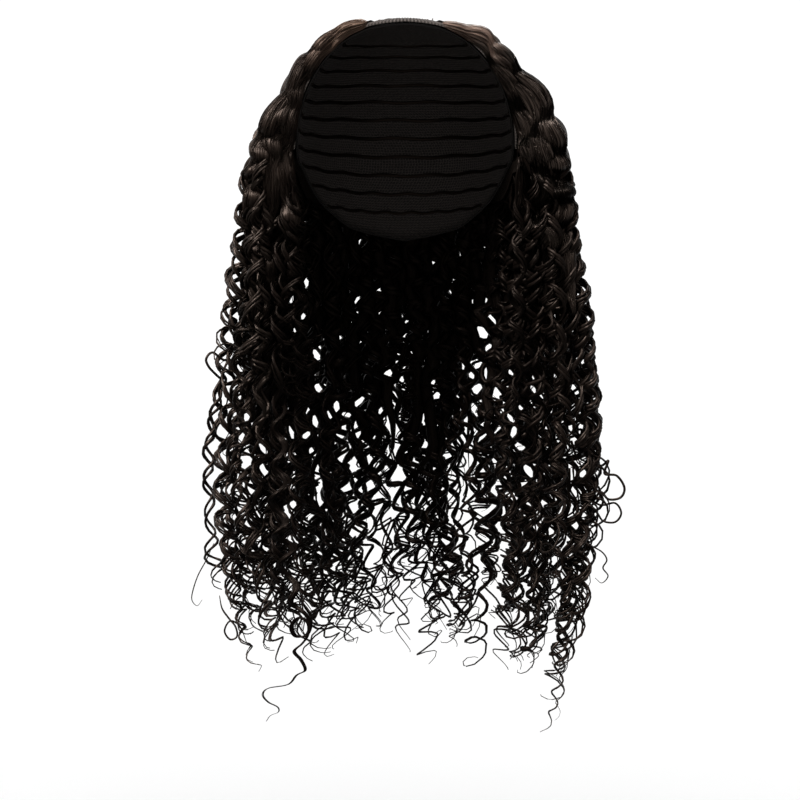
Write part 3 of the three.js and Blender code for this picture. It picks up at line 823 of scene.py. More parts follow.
class Curl:
    def __init__(
        self, path, s, rng, amp, pitch, phase, ahead=0.0, straight=16.0, loops=0.3,
        sway=6.0, tip_pitch=0.62, squeeze=0.75, stray=1.0, lean=None,
    ):
        """ahead: length of combed hair before the root of this guide."""
        length = s[-1]
        t, n, b = frames(path)
        age = smooth((s - 60) / max(length - 90, 30))
        path = (
            path
            + n * (waver(rng, s, ((230, 0.45 * sway), (105, 0.3 * sway))) * age)[:, None]
            + b * (waver(rng, s, ((270, sway), (115, 0.55 * sway))) * age)[:, None]
        )
        self.path, self.s, self.rng = path, s, rng
        self.t, self.n, self.b = frames(path)
        run = s + ahead
        self.tip = smooth((s - (length - 95)) / 95)
        own = smooth((run - 55) / 80)
        self.a = (
            amp
            * (0.72 * smooth((run - straight) / 42) + 0.28 * smooth((run - 60) / 110))
            * smooth((s - 4) / 46)
            * (1 + own * waver(rng, s, ((150, 0.2), (70, 0.16))))
            * (1 + loops * self.tip)
        )
        base = np.interp(run, [0, 60, 150, 2000], [31, 28, 25, 24])
        pit = base * (1 + (pitch / 24.0 - 1) * own) * (1 + (tip_pitch - 1) * self.tip)
        pit = pit * (1 + own * waver(rng, s, ((85, 0.15), (47, 0.07))))
        self.pit = np.maximum(pit, 9.0)
        start = phase + 2 * np.pi * ahead / 28.0
        self.phase = start + np.r_[0, np.cumsum(2 * np.pi / self.pit[1:] * np.diff(s))]
        self.phase += stray * own * (rng.uniform(-2.5, 2.5) + waver(rng, s, ((160, 0.5),)))
        hang = smooth((SPLIT_Z + 40 - path[:, 2]) / 70)
        self.flat = squeeze + (1 - squeeze) * hang
        self.hand = rng.choice((-1.0, 1.0))
        # loops lean, so that a lock bulges outward in round bows
        own_lean = rng.uniform(0.25, 0.55)
        self.lean = (own_lean if lean is None else lean) * (1 + 0.9 * self.tip)
        self.lag = rng.normal(0, 0.5)
        self.broad = rng.uniform(0.8, 1.15)

    def keep(self, per_turn, longest=6.0):
        """Sample numbers along the strand: so many to a turn of the curl."""
        curled = np.clip(self.a / 2.0, 0.0, 1.0)
        rate = np.maximum(per_turn / self.pit * curled, 1 / longest)
        count = np.r_[0, np.cumsum(rate[1:] * np.diff(self.s))]
        idx = np.searchsorted(count, np.arange(0, count[-1], 1.0))
        return np.unique(np.r_[idx, len(self.s) - 1])

    def line(self, turned=0.0, scale=1.0, dn=0.0, db=0.0, room=1.0, rad=0.5):
        ph = self.phase + turned
        a = self.a * scale
        q = (
            self.path
            + self.n * (a * np.cos(ph) * self.flat * self.hand + dn)[:, None]
            + self.b * (a * np.sin(ph) * self.broad + db)[:, None]
            + self.t * (a * np.sin(ph + self.lag) * self.lean * self.hand)[:, None]
        )
        return part(outside(q, room), rad)


def lay(batch, q, n, s, radius, sides, shade, along=None):
    t = np.gradient(q, axis=0)
    t /= np.linalg.norm(t, axis=1)[:, None] + 1e-9
    nn = n - (n * t).sum(1)[:, None] * t
    nn /= np.linalg.norm(nn, axis=1)[:, None] + 1e-9
    bb = np.cross(t, nn)
    batch.tube(q, radius, radius, nn, bb, sides, shade, s, along=along)


def lock(batch, curl, core, cores, shade, per_turn=10.0, sides=4, tip=0.75, apart=0.5, thins=0):
    """One ringlet: cores side by side along it, which part near the tip, and thin
    strands beside them."""
    rng, s = curl.rng, curl.s
    length = s[-1]
    keep = curl.keep(per_turn)
    for j in range(cores):
        u = ((j + 0.5) / cores * 2 - 1) * (1.0 if cores > 1 else 0.0)
        spread = apart * (1 + 0.5 * waver(rng, s, ((120, 0.6),)))
        part = u * spread * 1.2 + curl.tip * rng.uniform(-0.9, 0.9)
        q = curl.line(
            turned=part,
            scale=rng.uniform(0.86, 1.1),
            dn=waver(rng, s, ((90, 0.5),)),
            db=waver(rng, s, ((110, 0.6),)),
            room=core * 0.5 + 0.3,
            rad=core * 1.05 + 0.2,
        )
        r = core * (0.6 + 0.4 * smooth(s / 60)) * (1 + waver(rng, s, ((55, 0.1),)))
        r = r * (1 + 0.15 * smooth((curl.path[:, 2] + 330) / 110))
        end = length - rng.uniform(0, 45) * (j > 0)
        r = r + (tip - r) * smooth((s - (end - 120)) / 120)
        r = r * (1 - 0.6 * smooth((s - (end - 16)) / 16))
        ids = keep[s[keep] <= end]
        lay(batch, q[ids], curl.n[ids], s[ids], r[ids], sides, shade + 0.15 * u)
    for j in range(thins):
        q = curl.line(
            turned=rng.uniform(-1.2, 1.2),
            scale=rng.uniform(0.9, 1.3),
            dn=rng.uniform(-1.0, 1.3),
            db=rng.uniform(-1.8, 1.8),
            room=0.7,
        )
        r = 0.42 * (1 - 0.4 * smooth((s - (length - 120)) / 120))
        lay(batch, q[keep], curl.n[keep], s[keep], r[keep], 3, shade + rng.uniform(-0.1, 0.3))


# ---------------------------------------------------------------------------
# Clumps: broad bundles of combed hair, waved in round puffs with notches between.
# ---------------------------------------------------------------------------
def clump_guide(side, c, d, p0, low, wide):
    """Columns: x, y, z, half width, half thickness."""
    p = np.arange(p0, 122, 1.5)
    at_hair = np.interp(p, HAIR_EDGE[:, 0], HAIR_EDGE[:, 1])
    at_cap = np.interp(p, CAP_EDGE[:, 1], CAP_EDGE[:, 0])
    front = np.maximum(np.minimum(at_cap, at_hair), 36)
    w = wide * np.clip(np.sin(np.radians(p)) / math.sin(math.radians(62)), 0.5, 1.0)
    back = (0.74 * w - 3.2) / (92 * np.sin(np.radians(p)))
    t = front + np.degrees(back) + c * (180 - front)
    th = hair_thickness(side, t, p)
    under = hair_under(t, p)
    hh = np.clip(0.2 * th + 1.3, 0, 8)
    inmost = 0.5 * under + 0.9 * hh
    swell = 3.0 * np.exp(-(((p - 35) / 8) ** 2)) if side < 0 else 5.5 * np.exp(-(((p - 43) / 8) ** 2))
    outmost = np.maximum(under + th - 0.85 * hh - 1.0 + swell, inmost)
    top = on_cap(side * t, p, inmost + (outmost - inmost) * d)
    top = np.concatenate([top, w[:, None], hh[:, None]], 1)
    long = low < SPLIT_Z - 58
    cut = np.nonzero(top[:, 2] < max(SPLIT_Z + (16 if long else 3), low))[0]
    top = top[: cut[0]] if len(cut) else top
    if low < SPLIT_Z - 8:
        z = np.arange(SPLIT_Z - (18 if long else 3), low, -4.0)
        turn = FRONT_TURN + 3 + c * (180 - FRONT_TURN)
        fall = on_curtain(side * turn, 0.12 + 0.72 * d, z)
        if side > 0:
            fall[:, 0] *= 1 + 0.035 * smooth((-z - 112) / 40) * (1 - smooth((-z - 270) / 80))
        k = np.linspace(0, 1, len(z))[:, None]
        more = top[-1:, 3:] * np.concatenate([1 - 0.35 * k, 1 - 0.5 * k], 1)
        top = np.concatenate([top, np.concatenate([fall, more], 1)])
    path, _ = resample(top, 4.0)
    relax(path, 8)
    return resample(path, 1.0)


def clump(batch, guide, s, rng, phase, shade, strands, wave=28.0, ramp=16.0, ahead=0.0, puffed=1.0, sides=22, step=2, deep=0.8, bend_painted_shade=0.0):
    path, wide, thick = guide[:, :3], guide[:, 3], guide[:, 4]
    t, n, b = frames(path)
    length = s[-1]
    fade = min(85.0, 0.42 * length)
    ends = smooth(s / ramp + 0.2) * (1 - 0.92 * smooth((s - length + fade) / fade))
    loose = 1 + 1.1 * smooth((s - 105) / 70)
    grow = puffed * smooth(np.maximum(s + ahead + 2, 0) / 45)
    ph = np.pi * (s + ahead) / (wave * (1 + 0.09 * waver(rng, s, ((120, 1.0),)))) + phase
    # further down each bundle goes its own way
    stray = 2.8 * np.sin(np.array([17.3, 29.7, 41.1]) * phase + 0.9 * length)
    ph = ph + stray[2] * 0.5 * smooth((s - 95) / 70)
    puff = np.abs(np.sin(ph)) ** 0.7 - 0.62
    h = thick * (1 + 0.3 * grow * puff) * ends
    w = wide * (1 + 0.2 * grow * puff) * ends
    centre = (
        path
        + n * (grow * (0.14 * thick + 1.9) * puff)[:, None]
        + b * (loose * grow * (1.5 * np.sin(ph + rng.uniform(0.3, 0.9) + stray[0] * (loose - 1)) + (1.5 - 0.2 * loose) * np.sin(2 * ph + 0.5 + stray[1] * (loose - 1))))[:, None]
    )
    centre = part(centre + n * ((loose - 1) * 2.2 * np.sin(0.9 * ph + 2.0 + stray[0]))[:, None], 0.9 * w)
    a = (np.arange(sides) + 0.5) * 2 * np.pi / sides
    twist = 0.6 * np.sin(ph)[:, None]
    f = rng.uniform(0, 6.28, 4)
    lobes = (
        1
        + 0.07 * np.cos(3 * a[None, :] + f[0] + twist)
        + 0.08 * np.cos(5 * a[None, :] + f[1] + 1.5 * twist + 0.02 * s[:, None])
        + 0.08 * np.cos(8 * a[None, :] + f[2] + 2 * twist - 0.03 * s[:, None])
    )
    # painted shade in the notches between the puffs, and painted light near each crest
    tone_with_painted_light = shade + deep * grow * (np.abs(np.sin(ph + 0.3)) ** 0.8 - 0.62)
    # and painted shade at the bend where the bundle leaves the cap
    tone_with_painted_light = tone_with_painted_light - bend_painted_shade * np.exp(-(((path[:, 2] + 119) / 12) ** 2))
    ids = np.unique(np.r_[np.arange(0, len(s), step), len(s) - 1])
    batch.tube(centre[ids], h[ids], w[ids], n[ids], b[ids], sides, tone_with_painted_light[ids], s[ids], 7.0, lobes[ids])
    for j in range(strands):
        at = rng.uniform(-2.0, 2.0) + waver(rng, s, ((70, 0.22),)) + 0.35 * np.sin(ph)
        k = rng.uniform(0.98, 1.06)
        q = centre + n * (h * np.cos(at) * k)[:, None] + b * (w * np.sin(at) * k)[:, None]
        q = outside(q, 0.45)
        first = int(rng.uniform(0, 0.45) * len(s))
        last = int(min(len(s) - 1, first + rng.uniform(0.45, 0.8) * len(s)))
        ids = np.arange(first, last, 4 if length < 190 else 5)
        if len(ids) < 8:
            continue
        ss = s[ids]
        r = rng.uniform(0.3, 0.55) * (0.4 + 0.6 * smooth((ss - ss[0]) / 12)) * (1 - 0.7 * smooth((ss - ss[-1] + 25) / 25))
        lay(batch, q[ids], n[ids], ss, r, 3, tone_with_painted_light[ids] + rng.uniform(-0.2, 0.35), ss / length)


# along the side, depth, root angle, low end left and right, half width
CLUMPS = [
    (0.000, 0.08, 28.1, -225, -132, 5.0),
    (0.000, 0.50, 27.9, -250, -262, 5.6),
    (0.004, 0.92, 27.7, -200, -235, 5.8),
    (0.062, 0.30, 38.0, -275, -275, 6.2),
    (0.060, 0.88, 27.0, -188, -222, 6.2),
    (0.130, 0.88, 17.0, -190, -212, 6.8),
    (0.205, 0.88, 13.5, -182, -200, 7.4),
    (0.290, 0.86, 12.0, -160, -170, 8.2),
    (0.385, 0.84, 11.0, -130, -135, 9.0),
    (0.490, 0.82, 11.0, -116, -116, 10.0),
    (0.600, 0.80, 12.0, -116, -116, 11.0),
    (0.034, 0.68, 58.0, -282, -290, 5.6),
    (0.120, 0.58, 60.0, -290, -285, 6.2),
    (0.230, 0.62, 62.0, -272, -270, 6.8),
]


def make_clumps():
    out = {k: Batch() for k in ("crown_strands_left", "crown_strands_right", "crown_strands_back")}
    for side in (-1, 1):
        rng = np.random.default_rng(800 + side)
        for c, d, p0, left, right, wide in CLUMPS:
            guide, s = clump_guide(side, c, d, p0, left if side < 0 else right, wide)
            g = out["crown_strands_back"] if c > 0.3 else out[
                "crown_strands_left" if side < 0 else "crown_strands_right"
            ]
            phase = 0.5 * common_phase(side, c) + rng.normal(0, 0.15 if side < 0 else 0.28) + 0.5 * d
            # Painted light and shade by side: the left bundles are painted lighter and the right ones darker, with
            # deeper painted shade in their notches and at their bend.
            tone_with_painted_light = rng.uniform(0.22, 0.45) if side < 0 else rng.uniform(-0.25, -0.02)
            strands = 20 if p0 > 50 else 36 if c < 0.1 else 26 if c < 0.25 else 18
            clump(g, guide, s, rng, phase, tone_with_painted_light, strands, ramp=5.0 if c < 0.1 and p0 < 50 else 28.0, puffed=1.25 if side < 0 else 1.2, deep=0.35 if side < 0 else 1.25, bend_painted_shade=0.0 if side < 0 else 1.1, ahead=0.0 if c < 0.1 else -14.0, sides=22 if c < 0.25 else 16, step=2 if c < 0.25 else 3)
    rng = np.random.default_rng(805)
    for i in range(12):
        x0 = 1.08 * (-1 + 2 * (i + 0.5) / 12)
        top, turn = back_line(x0, 0.72)
        top = top[top[:, 2] > -108 - rng.uniform(0, 8)]
        run = np.linspace(0, 1, len(top))
        wide = np.interp(run, [0, 0.25, 0.6, 1], [2.5, 5.5, 9.0, 10.5])
        thick = np.interp(run, [0, 0.12, 0.4, 1], [0.5, 1.2, 4.5, 7.0])
        guide, _ = resample(np.concatenate([top, wide[:, None], thick[:, None]], 1), 4.0)
        relax(guide, 6)
        guide, s = resample(guide, 1.0)
        phase = 0.5 * common_phase(1, abs(x0)) + rng.normal(0, 0.15)
        clump(out["crown_strands_back"], guide, s, rng, phase, rng.uniform(0.0, 0.25), 15, ramp=40, puffed=0.9, sides=16, step=3)
    # fine strands on the top, behind the band
    for i in range(130):
        x0 = -1.0 + 2.0 * (i + rng.uniform()) / 130
        top, _ = back_line(x0, rng.uniform(0.5, 0.8), rng.uniform(25, 60))
        path, _ = resample(top[rng.integers(0, 10):], 4.0)
        relax(path, 4)
        path, s = resample(path, 1.0)
        curl = Curl(path, s, rng, amp=2.4, pitch=25, phase=common_phase(1, abs(x0)), straight=22, loops=0, sway=2.0, tip_pitch=1.0)
        q = curl.line(room=0.4)
        ids = np.arange(0, len(s), 3)
        r = rng.uniform(0.35, 0.6) * (1 - 0.75 * smooth((s[ids] - s[-1] + 30) / 30))
        lay(out["crown_strands_back"], q[ids], curl.n[ids], s[ids], r, 3, rng.uniform(-0.4, 0.05))
    return out


GROUPS = {
    "curls_left_outer": [f"outer_lock_{i:02d}" for i in range(1, 5)],
    "curls_back_left_outer": [f"outer_lock_{i:02d}" for i in range(5, 9)],
    "curls_back_right_outer": [f"outer_lock_{i:02d}" for i in range(9, 13)],
    "curls_right_outer": [f"outer_lock_{i:02d}" for i in range(13, 17)],
    "curls_left_inner": [f"inner_lock_{i:02d}" for i in range(1, 4)],
    "curls_back_left_inner": [f"inner_lock_{i:02d}" for i in range(4, 7)],
    "curls_back_right_inner": [f"inner_lock_{i:02d}" for i in range(7, 10)],
    "curls_right_inner": [f"inner_lock_{i:02d}" for i in range(10, 13)],
}
batches = {k: Batch() for k in GROUPS}


def group_of(side, c, d):
    where = "left" if side < 0 else "right"
    layer = "outer" if d > 0.5 else "inner"
    return f"curls_{where}_{layer}" if c < 0.5 else f"curls_back_{where}_{layer}"


# Rows of locks: how many on a side, from and to along the side, depth, root
# polar angles, heights of long and of short tips, size and number of cores.
ROWS = [
    dict(row="edge", count=15, c=(-0.02, 0.07), d=(0.03, 0.95), root=(58, 80), long=(-475, -395), short=(-350, -250), core=1.3, cores=3, sway=6),
    dict(row="outer", count=21, c=(0.05, 1.0), d=(0.74, 0.94), root=(46, 74), long=(-490, -410), short=(-370, -270), core=1.3, cores=3, sway=7),
    dict(row="middle", count=20, c=(0.0, 1.0), d=(0.42, 0.70), root=(58, 80), long=(-475, -390), short=(-340, -240), core=1.7, cores=2, sway=8),
    dict(row="inner", count=17, c=(0.0, 1.0), d=(0.06, 0.38), root=(70, 94), long=(-455, -375), short=(-320, -230), core=1.9, cores=2, sway=8),
    dict(row="fill", count=15, c=(0.02, 0.98), d=(0.25, 0.60), root=(74, 92), long=(-215, -190), short=(-215, -190), core=5.0, cores=1, sway=3),
]


def make_curls():
    for side in (-1, 1):
        for number, row in enumerate(ROWS):
            rng = np.random.default_rng(1000 * (side + 2) + number)
            n, kind = row["count"], row["row"]
            for i in range(n):
                u = (i + 0.5 + rng.uniform(-0.35, 0.35)) / n
                lo, hi = row["c"]
                c = lo + (hi - lo) * (rng.uniform() if kind == "edge" else u)
                lo, hi = row["d"]
                d = lo + (hi - lo) * (u if kind == "edge" else rng.uniform())
                p0 = rng.uniform(*row["root"])
                if kind == "edge":
                    p0 = np.interp(d, [0.0, 0.4, 0.7, 1.0], [97, 92, 82, 72]) + rng.uniform(-4, 8)
                elif c < 0.3:
                    p0 = max(p0, rng.uniform(84, 102))
                tip = rng.uniform(*row["long" if rng.uniform() < 0.6 else "short"])
                if side < 0 and c < 0.5:
                    tip = max(tip, rng.uniform(-455, -425))
                path, s = side_guide(side, c, d, p0, tip)
                curl = Curl(
                    path,
                    s,
                    rng,
                    amp=rng.uniform(4.0, 6.2),
                    pitch=rng.uniform(19, 28),
                    phase=common_phase(side, c) + rng.normal(0, 0.35 if d > 0.5 else 1.2),
                    ahead=max(0.0, (p0 - 24) * 1.57),
                    loops=rng.uniform(0.0, 0.4),
                    sway=row["sway"],
                    tip_pitch=rng.uniform(0.55, 0.8),
                )
                lock(
                    batches[group_of(side, c, d)],
                    curl,
                    core=row["core"] * rng.uniform(0.8, 1.1) * (0.9 if c < 0.5 and kind != "fill" else 1.0),
                    cores=row["cores"],
                    shade=rng.uniform(0.0, 0.4),
                    sides=5 if kind == "fill" else 4,
                    per_turn=8.0 if kind in ("inner", "fill") else 9.0 if kind == "middle" else 10.0,
                    apart=rng.uniform(0.3, 0.9),
                )


def make_inner_clumps():
    """Broad bundles inside the hanging hair, that the locks hang around."""
    for side in (-1, 1):
        rng = np.random.default_rng(640 + side)
        for i in range(14):
            c = 0.14 + 0.85 * (i + 0.5 + rng.uniform(-0.2, 0.2)) / 14
            d = rng.uniform(0.26, 0.46)
            tip = rng.uniform(-330, -270) if c < 0.42 else rng.uniform(-390, -310)
            path, s = side_guide(side, c, d, rng.uniform(78, 90), tip)
            t, n, b = frames(path)
            path = path + b * (waver(rng, s, ((130, 3.0), (70, 2.0))) * smooth((s - 30) / 60))[:, None]
            wide = np.interp(s, [0, 40, s[-1] - 120, s[-1]], [4, 6.2, 5.6, 2.4]) * (0.65 if c < 0.42 else 0.85)
            thick = np.full(len(s), 3.4)
            guide = np.concatenate([path, wide[:, None], thick[:, None]], 1)
            g = batches[group_of(side, c, d)]
            clump(g, guide, s, rng, rng.uniform(0, 3.1), 0.1, 3, wave=25.0, puffed=1.3, ahead=60, sides=14, step=3)


def make_crown_back():
    rng = np.random.default_rng(77)
    n = 20
    for i in range(n):
        x0 = -1 + 2 * (i + 0.5 + rng.uniform(-0.3, 0.3)) / n
        tip = rng.uniform(-490, -410) if rng.uniform() < 0.65 else rng.uniform(-370, -270)
        path, s = back_guide(x0, rng.uniform(0.66, 0.93), tip)
        cut = int(rng.uniform(75, 120))
        path, s = path[cut:], s[cut:] - s[cut]
        curl = Curl(
            path, s, rng, amp=rng.uniform(4.2, 6.0), pitch=rng.uniform(19, 28),
            phase=common_phase(1, abs(x0)) + rng.normal(0, 0.5), ahead=cut - 30.0,
            loops=rng.uniform(0, 0.4), sway=7,
        )
        g = batches["curls_back_left_outer" if x0 < 0 else "curls_back_right_outer"]
        lock(g, curl, 1.35, 3, rng.uniform(0, 0.4), apart=rng.uniform(0.3, 0.9))


# Locks and strands that stand apart from the rest at the sides and the tips:
# size of the curl, pitch, radius, number of cores and how far apart they wind, lean,
# radius at the tip, and the middle line (x, y, z).
APART = [
    ("left", 4.2, 25, 1.5, 2, 1.35, 0.2, 1.0, ((-128, 14, -240), (-134.6, 10, -267), (-140.4, 8, -292), (-142.2, 6, -321), (-141.5, 6, -350), (-141, 6, -374), (-138, 8, -392), (-133, 8, -406))),
    ("left", 4.8, 20, 1.3, 3, 0.7, 0.35, 0.9, ((-122, 16, -320), (-126, 12, -350), (-127, 9, -380), (-125, 7, -404), (-121, 5, -424))),
    ("left", 3.4, 18, 1.2, 2, 0.6, 0.2, 0.55, ((-121, 8, -360), (-123, 6, -395), (-121, 4, -418), (-117, 2, -436), (-112, 0, -452), (-105, -2, -467))),
    ("right", 3.2, 21, 1.4, 3, 0.4, 0.15, 0.65, ((119, 10, -320), (118, 6, -365), (116.5, 2, -400), (115, 0, -430), (112.5, -2, -455), (109, -4, -480), (106, -5, -496), (99.5, -6, -510))),
    ("right", 6.0, 23, 1.2, 2, 0.8, 0.45, 0.8, ((122, 12, -310), (121, 8, -360), (118, 6, -395), (116, 4, -425), (114, 2, -456))),
    ("right", 6.5, 21, 1.05, 2, 1.2, 0.5, 0.8, ((125, 14, -320), (123, 10, -370), (120.5, 6, -405), (118, 4, -434))),
    ("right", 5.6, 23, 1.3, 2, 1.1, 0.4, 0.8, ((128, 16, -250), (133, 12, -285), (136, 10, -320), (137, 8, -350), (132, 8, -378), (125, 8, -402))),
    ("right", 6.2, 22, 1.1, 2, 1.3, 0.55, 0.8, ((124, 12, -262), (131, 8, -288), (138, 6, -312), (141, 4, -335), (139, 4, -356), (132, 4, -378), (124, 4, -398))),
    ("right", 5.6, 20, 1.0, 2, 1.0, 0.5, 0.7, ((120, 6, -300), (128, 2, -325), (134, 0, -348), (132, -1, -370), (126, -1, -392), (121, -1, -412))),
    ("right", 2.6, 19, 0.6, 2, 1.0, 0.2, 0.4, ((121, 6, -440), (118, 2, -455), (113, 0, -470), (111, -2, -486), (108, -3, -500))),
]
# Single strands through points, with their radius.
LOOSE = [
    ("left", 1.25, ((-121.7, 8, -227.5), (-124.6, 5, -236), (-130, 3, -242), (-138.5, 0, -236.5), (-143, -2, -241.2), (-141, -2, -247), (-136.5, 0, -252), (-132, 3, -257), (-128, 6, -268), (-131, 8, -280))),
    ("left", 0.6, ((-138, 4, -374), (-143.3, 4, -386), (-149, 2, -396.7), (-152.6, 0, -407.5), (-153.4, 0, -414.7), (-149.8, 2, -419), (-146.2, 3, -414.7))),
    ("left", 0.9, ((-134, 6, -412), (-132, 4, -421), (-127, 2, -428), (-122, 0, -434), (-121, 0, -441), (-126, 0, -443), (-130, 1, -437), (-126, 2, -430), (-119, 3, -434), (-114, 2, -446))),
    ("right", 1.2, ((124, 10, -300), (131.8, 6, -310.3), (140.8, 2, -318), (146.4, 0, -314.4), (143.6, -1, -323.7), (152.1, -3, -325.1), (157.6, -4, -333.6), (154.9, -4, -340.7), (146.4, -2, -342.1), (141, 0, -337), (136, 3, -344), (133, 6, -356))),
    ("right", 1.0, ((128, 8, -338), (140.4, 3, -346.3), (151.2, 0, -344.9), (155.6, -1, -352.1), (151.2, -1, -358.5), (142.6, 1, -357.8), (137.5, 3, -351.3), (132, 6, -358), (130, 8, -368))),
    ("right", 0.75, ((124, 6, -368), (133.2, 4, -375.1), (141.8, 2, -380.1), (145.4, 1, -385.9), (142.6, 1, -391.7), (146.2, 0, -397.4), (141.8, 1, -402.5), (137, 2, -399))),
    ("right", 1.0, ((116, 4, -404), (125, 2, -408), (130, 0, -417), (127, -1, -427), (119, -1, -430), (114, 0, -424), (119, 2, -418), (124, 3, -428), (120, 3, -440), (112, 2, -444), (106, 1, -452), (110, 0, -462), (117, 0, -458))),
]


def make_apart():
    rng = np.random.default_rng(515)
    for where, amp, pitch, core, cores, apart, lean, tip, points in APART:
        path = through(np.array(points, float), 12)
        path, s = resample(path, 1.0)
        curl = Curl(
            path, s, rng, amp=amp, pitch=pitch, phase=rng.uniform(0, 6.28), ahead=150,
            loops=0.1, sway=1.5, tip_pitch=0.8, lean=lean,
        )
        lock(batches[f"curls_{where}_outer"], curl, core, cores, 0.2, apart=apart, tip=tip)
    for where, radius, points in LOOSE:
        path = through(np.array(points, float), 7)
        s = np.r_[0, np.cumsum(np.linalg.norm(np.diff(path, axis=0), axis=1))]
        n = np.broadcast_to(np.array([0.0, -1.0, 0.0]), path.shape)
        r = radius * (0.5 + 0.5 * smooth(s / 15)) * (1 - 0.6 * smooth((s - s[-1] + 20) / 20))
        lay(batches[f"curls_{where}_outer"], path, n, s, r, 4, 0.2)


def close_sheet(g, a, z, rows, cols, turned):
    """Joins the rims of two open grids of the same size."""
    k = np.arange(cols - 1)
    last = (rows - 1) * cols
    r = np.arange(rows - 1) * cols
    for q in (
        np.stack([a + k, a + k + 1, z + k + 1, z + k], -1),
        np.stack([a + last + k + 1, a + last + k, z + last + k, z + last + k + 1], -1),
        np.stack([a + r + cols, a + r, z + r, z + r + cols], -1),
        np.stack([a + r + cols - 1, a + r + 2 * cols - 1, z + r + 2 * cols - 1, z + r + cols - 1], -1),
    ):
        q = q if turned else q[:, ::-1]
        g.quads.append(q)
        g.quv.append(np.zeros((len(q), 4, 2)))
        g.qstrip.append(np.full((len(q), 4, 2), 0.01))


def make_crown_beds():
    """Combed hair that the strands lie on, waved like them."""
    beds = {k: Batch() for k in ("crown_left", "crown_right", "crown_back")}
    rng = np.random.default_rng(55)
    rows = 36
    for side in (-1, 1):
        for name, c0, c1, cols in (
            ("crown_left" if side < 0 else "crown_right", 0.0, 0.27, 50),
            ("crown_back", 0.27, 1.0, 76),
        ):
            c = np.linspace(c0, c1, cols)[None, :]
            # at the front it ends just below the cap's edge
            rim = cap_edge(FRONT_TURN + c * (180 - FRONT_TURN)) + 7
            rim = rim + (112 - rim) * smooth((c - 0.2) / 0.25)
            p = 14 + (rim - 14) * np.linspace(0, 1, rows)[:, None]
            ridge = sum(
                a * np.sin(2 * np.pi * c * k + rng.uniform(0, 6.28) + 0.02 * p)
                for a, k in ((0.3, 31), (0.3, 53), (0.25, 83), (0.2, 127))
            )
            phase = np.array([common_phase(side, x) for x in c[0]])[None, :]
            edge = np.interp(p, HAIR_EDGE[:, 0], HAIR_EDGE[:, 1])
            t = edge + c * (180 - edge)
            th = hair_thickness(side, t, p) * smooth((c + 0.004) / 0.05) * (1 - 0.72 * smooth((p - rim + 24) / 22))
            run = (p - 24) * 1.57
            wave = np.sin(2 * np.pi * run / 27 + phase) * smooth((run - 14) / 45)
            under = hair_under(t, p)
            lift = under + 0.45 * th + np.minimum(0.1 * th, 1.6) * wave
            lift = lift + ridge * np.clip((p - 14) / 30, 0.15, 1.0) * smooth(c / 0.03)
            out = on_cap(side * t, p, np.maximum(lift, under * 0.8 + 0.2))
            inn = on_cap(side * t, p, under * 0.75)
            uv = np.stack(
                [np.broadcast_to(c * 300, t.shape), p * 1.57], -1
            )
            g = beds[name]
            a = g.grid(out, uv, 0.1, flip=side < 0)
            z = g.grid(inn, uv, 0.1, flip=side > 0)
            close_sheet(g, a, z, rows, cols, side > 0)
    # the top, behind the band
    turn = np.arange(120) * 3.0
    ab = np.abs((turn + 180) % 360 - 180)
    wide = np.interp(ab, [0, 35, 41, 180], [17.3, 17.6, 25, 25])
    f = np.linspace(0.02, 1, 14)[:, None]
    pp = f * wide[None, :]
    tt = np.broadcast_to(turn[None, :], pp.shape)
    at = np.broadcast_to(ab[None, :], pp.shape)
    th = np.where(at < 90, 1.0, 1.0 + (at - 90) / 90 * np.interp(pp, [0, 10, 25], [0, 1.5, 3.0]))
    x = np.sin(np.radians(pp)) * np.sin(np.radians(tt)) * 93
    y = -np.sin(np.radians(pp)) * np.cos(np.radians(tt)) * 93
    fold = 1 - smooth((f - 0.86) / 0.14)
    lift = HAIR_LIFT + 0.05 + (0.55 * th + 0.22 * np.sin(x * 2.1) + 0.2 * np.sin(x * 3.7 + 1)) * fold
    uv = np.stack([x * 1.5, y], -1)
    g = beds["crown_back"]
    a = g.grid(on_cap(tt, pp, lift), uv, 0.1, closed=True, flip=True)
    z = g.grid(on_cap(tt, pp, 1.5 + 0 * pp), uv, 0.1, closed=True)
    k = np.arange(120)
    k2 = (k + 1) % 120
    last = 13 * 120
    for q in (
        np.stack([a + last + k2, z + last + k2, z + last + k, a + last + k], -1),
        np.stack([a + k, z + k, z + k2, a + k2], -1),
    ):
        g.quads.append(q)
        g.quv.append(np.zeros((120, 4, 2)))
        g.qstrip.append(np.full((120, 4, 2), 0.01))
    return beds


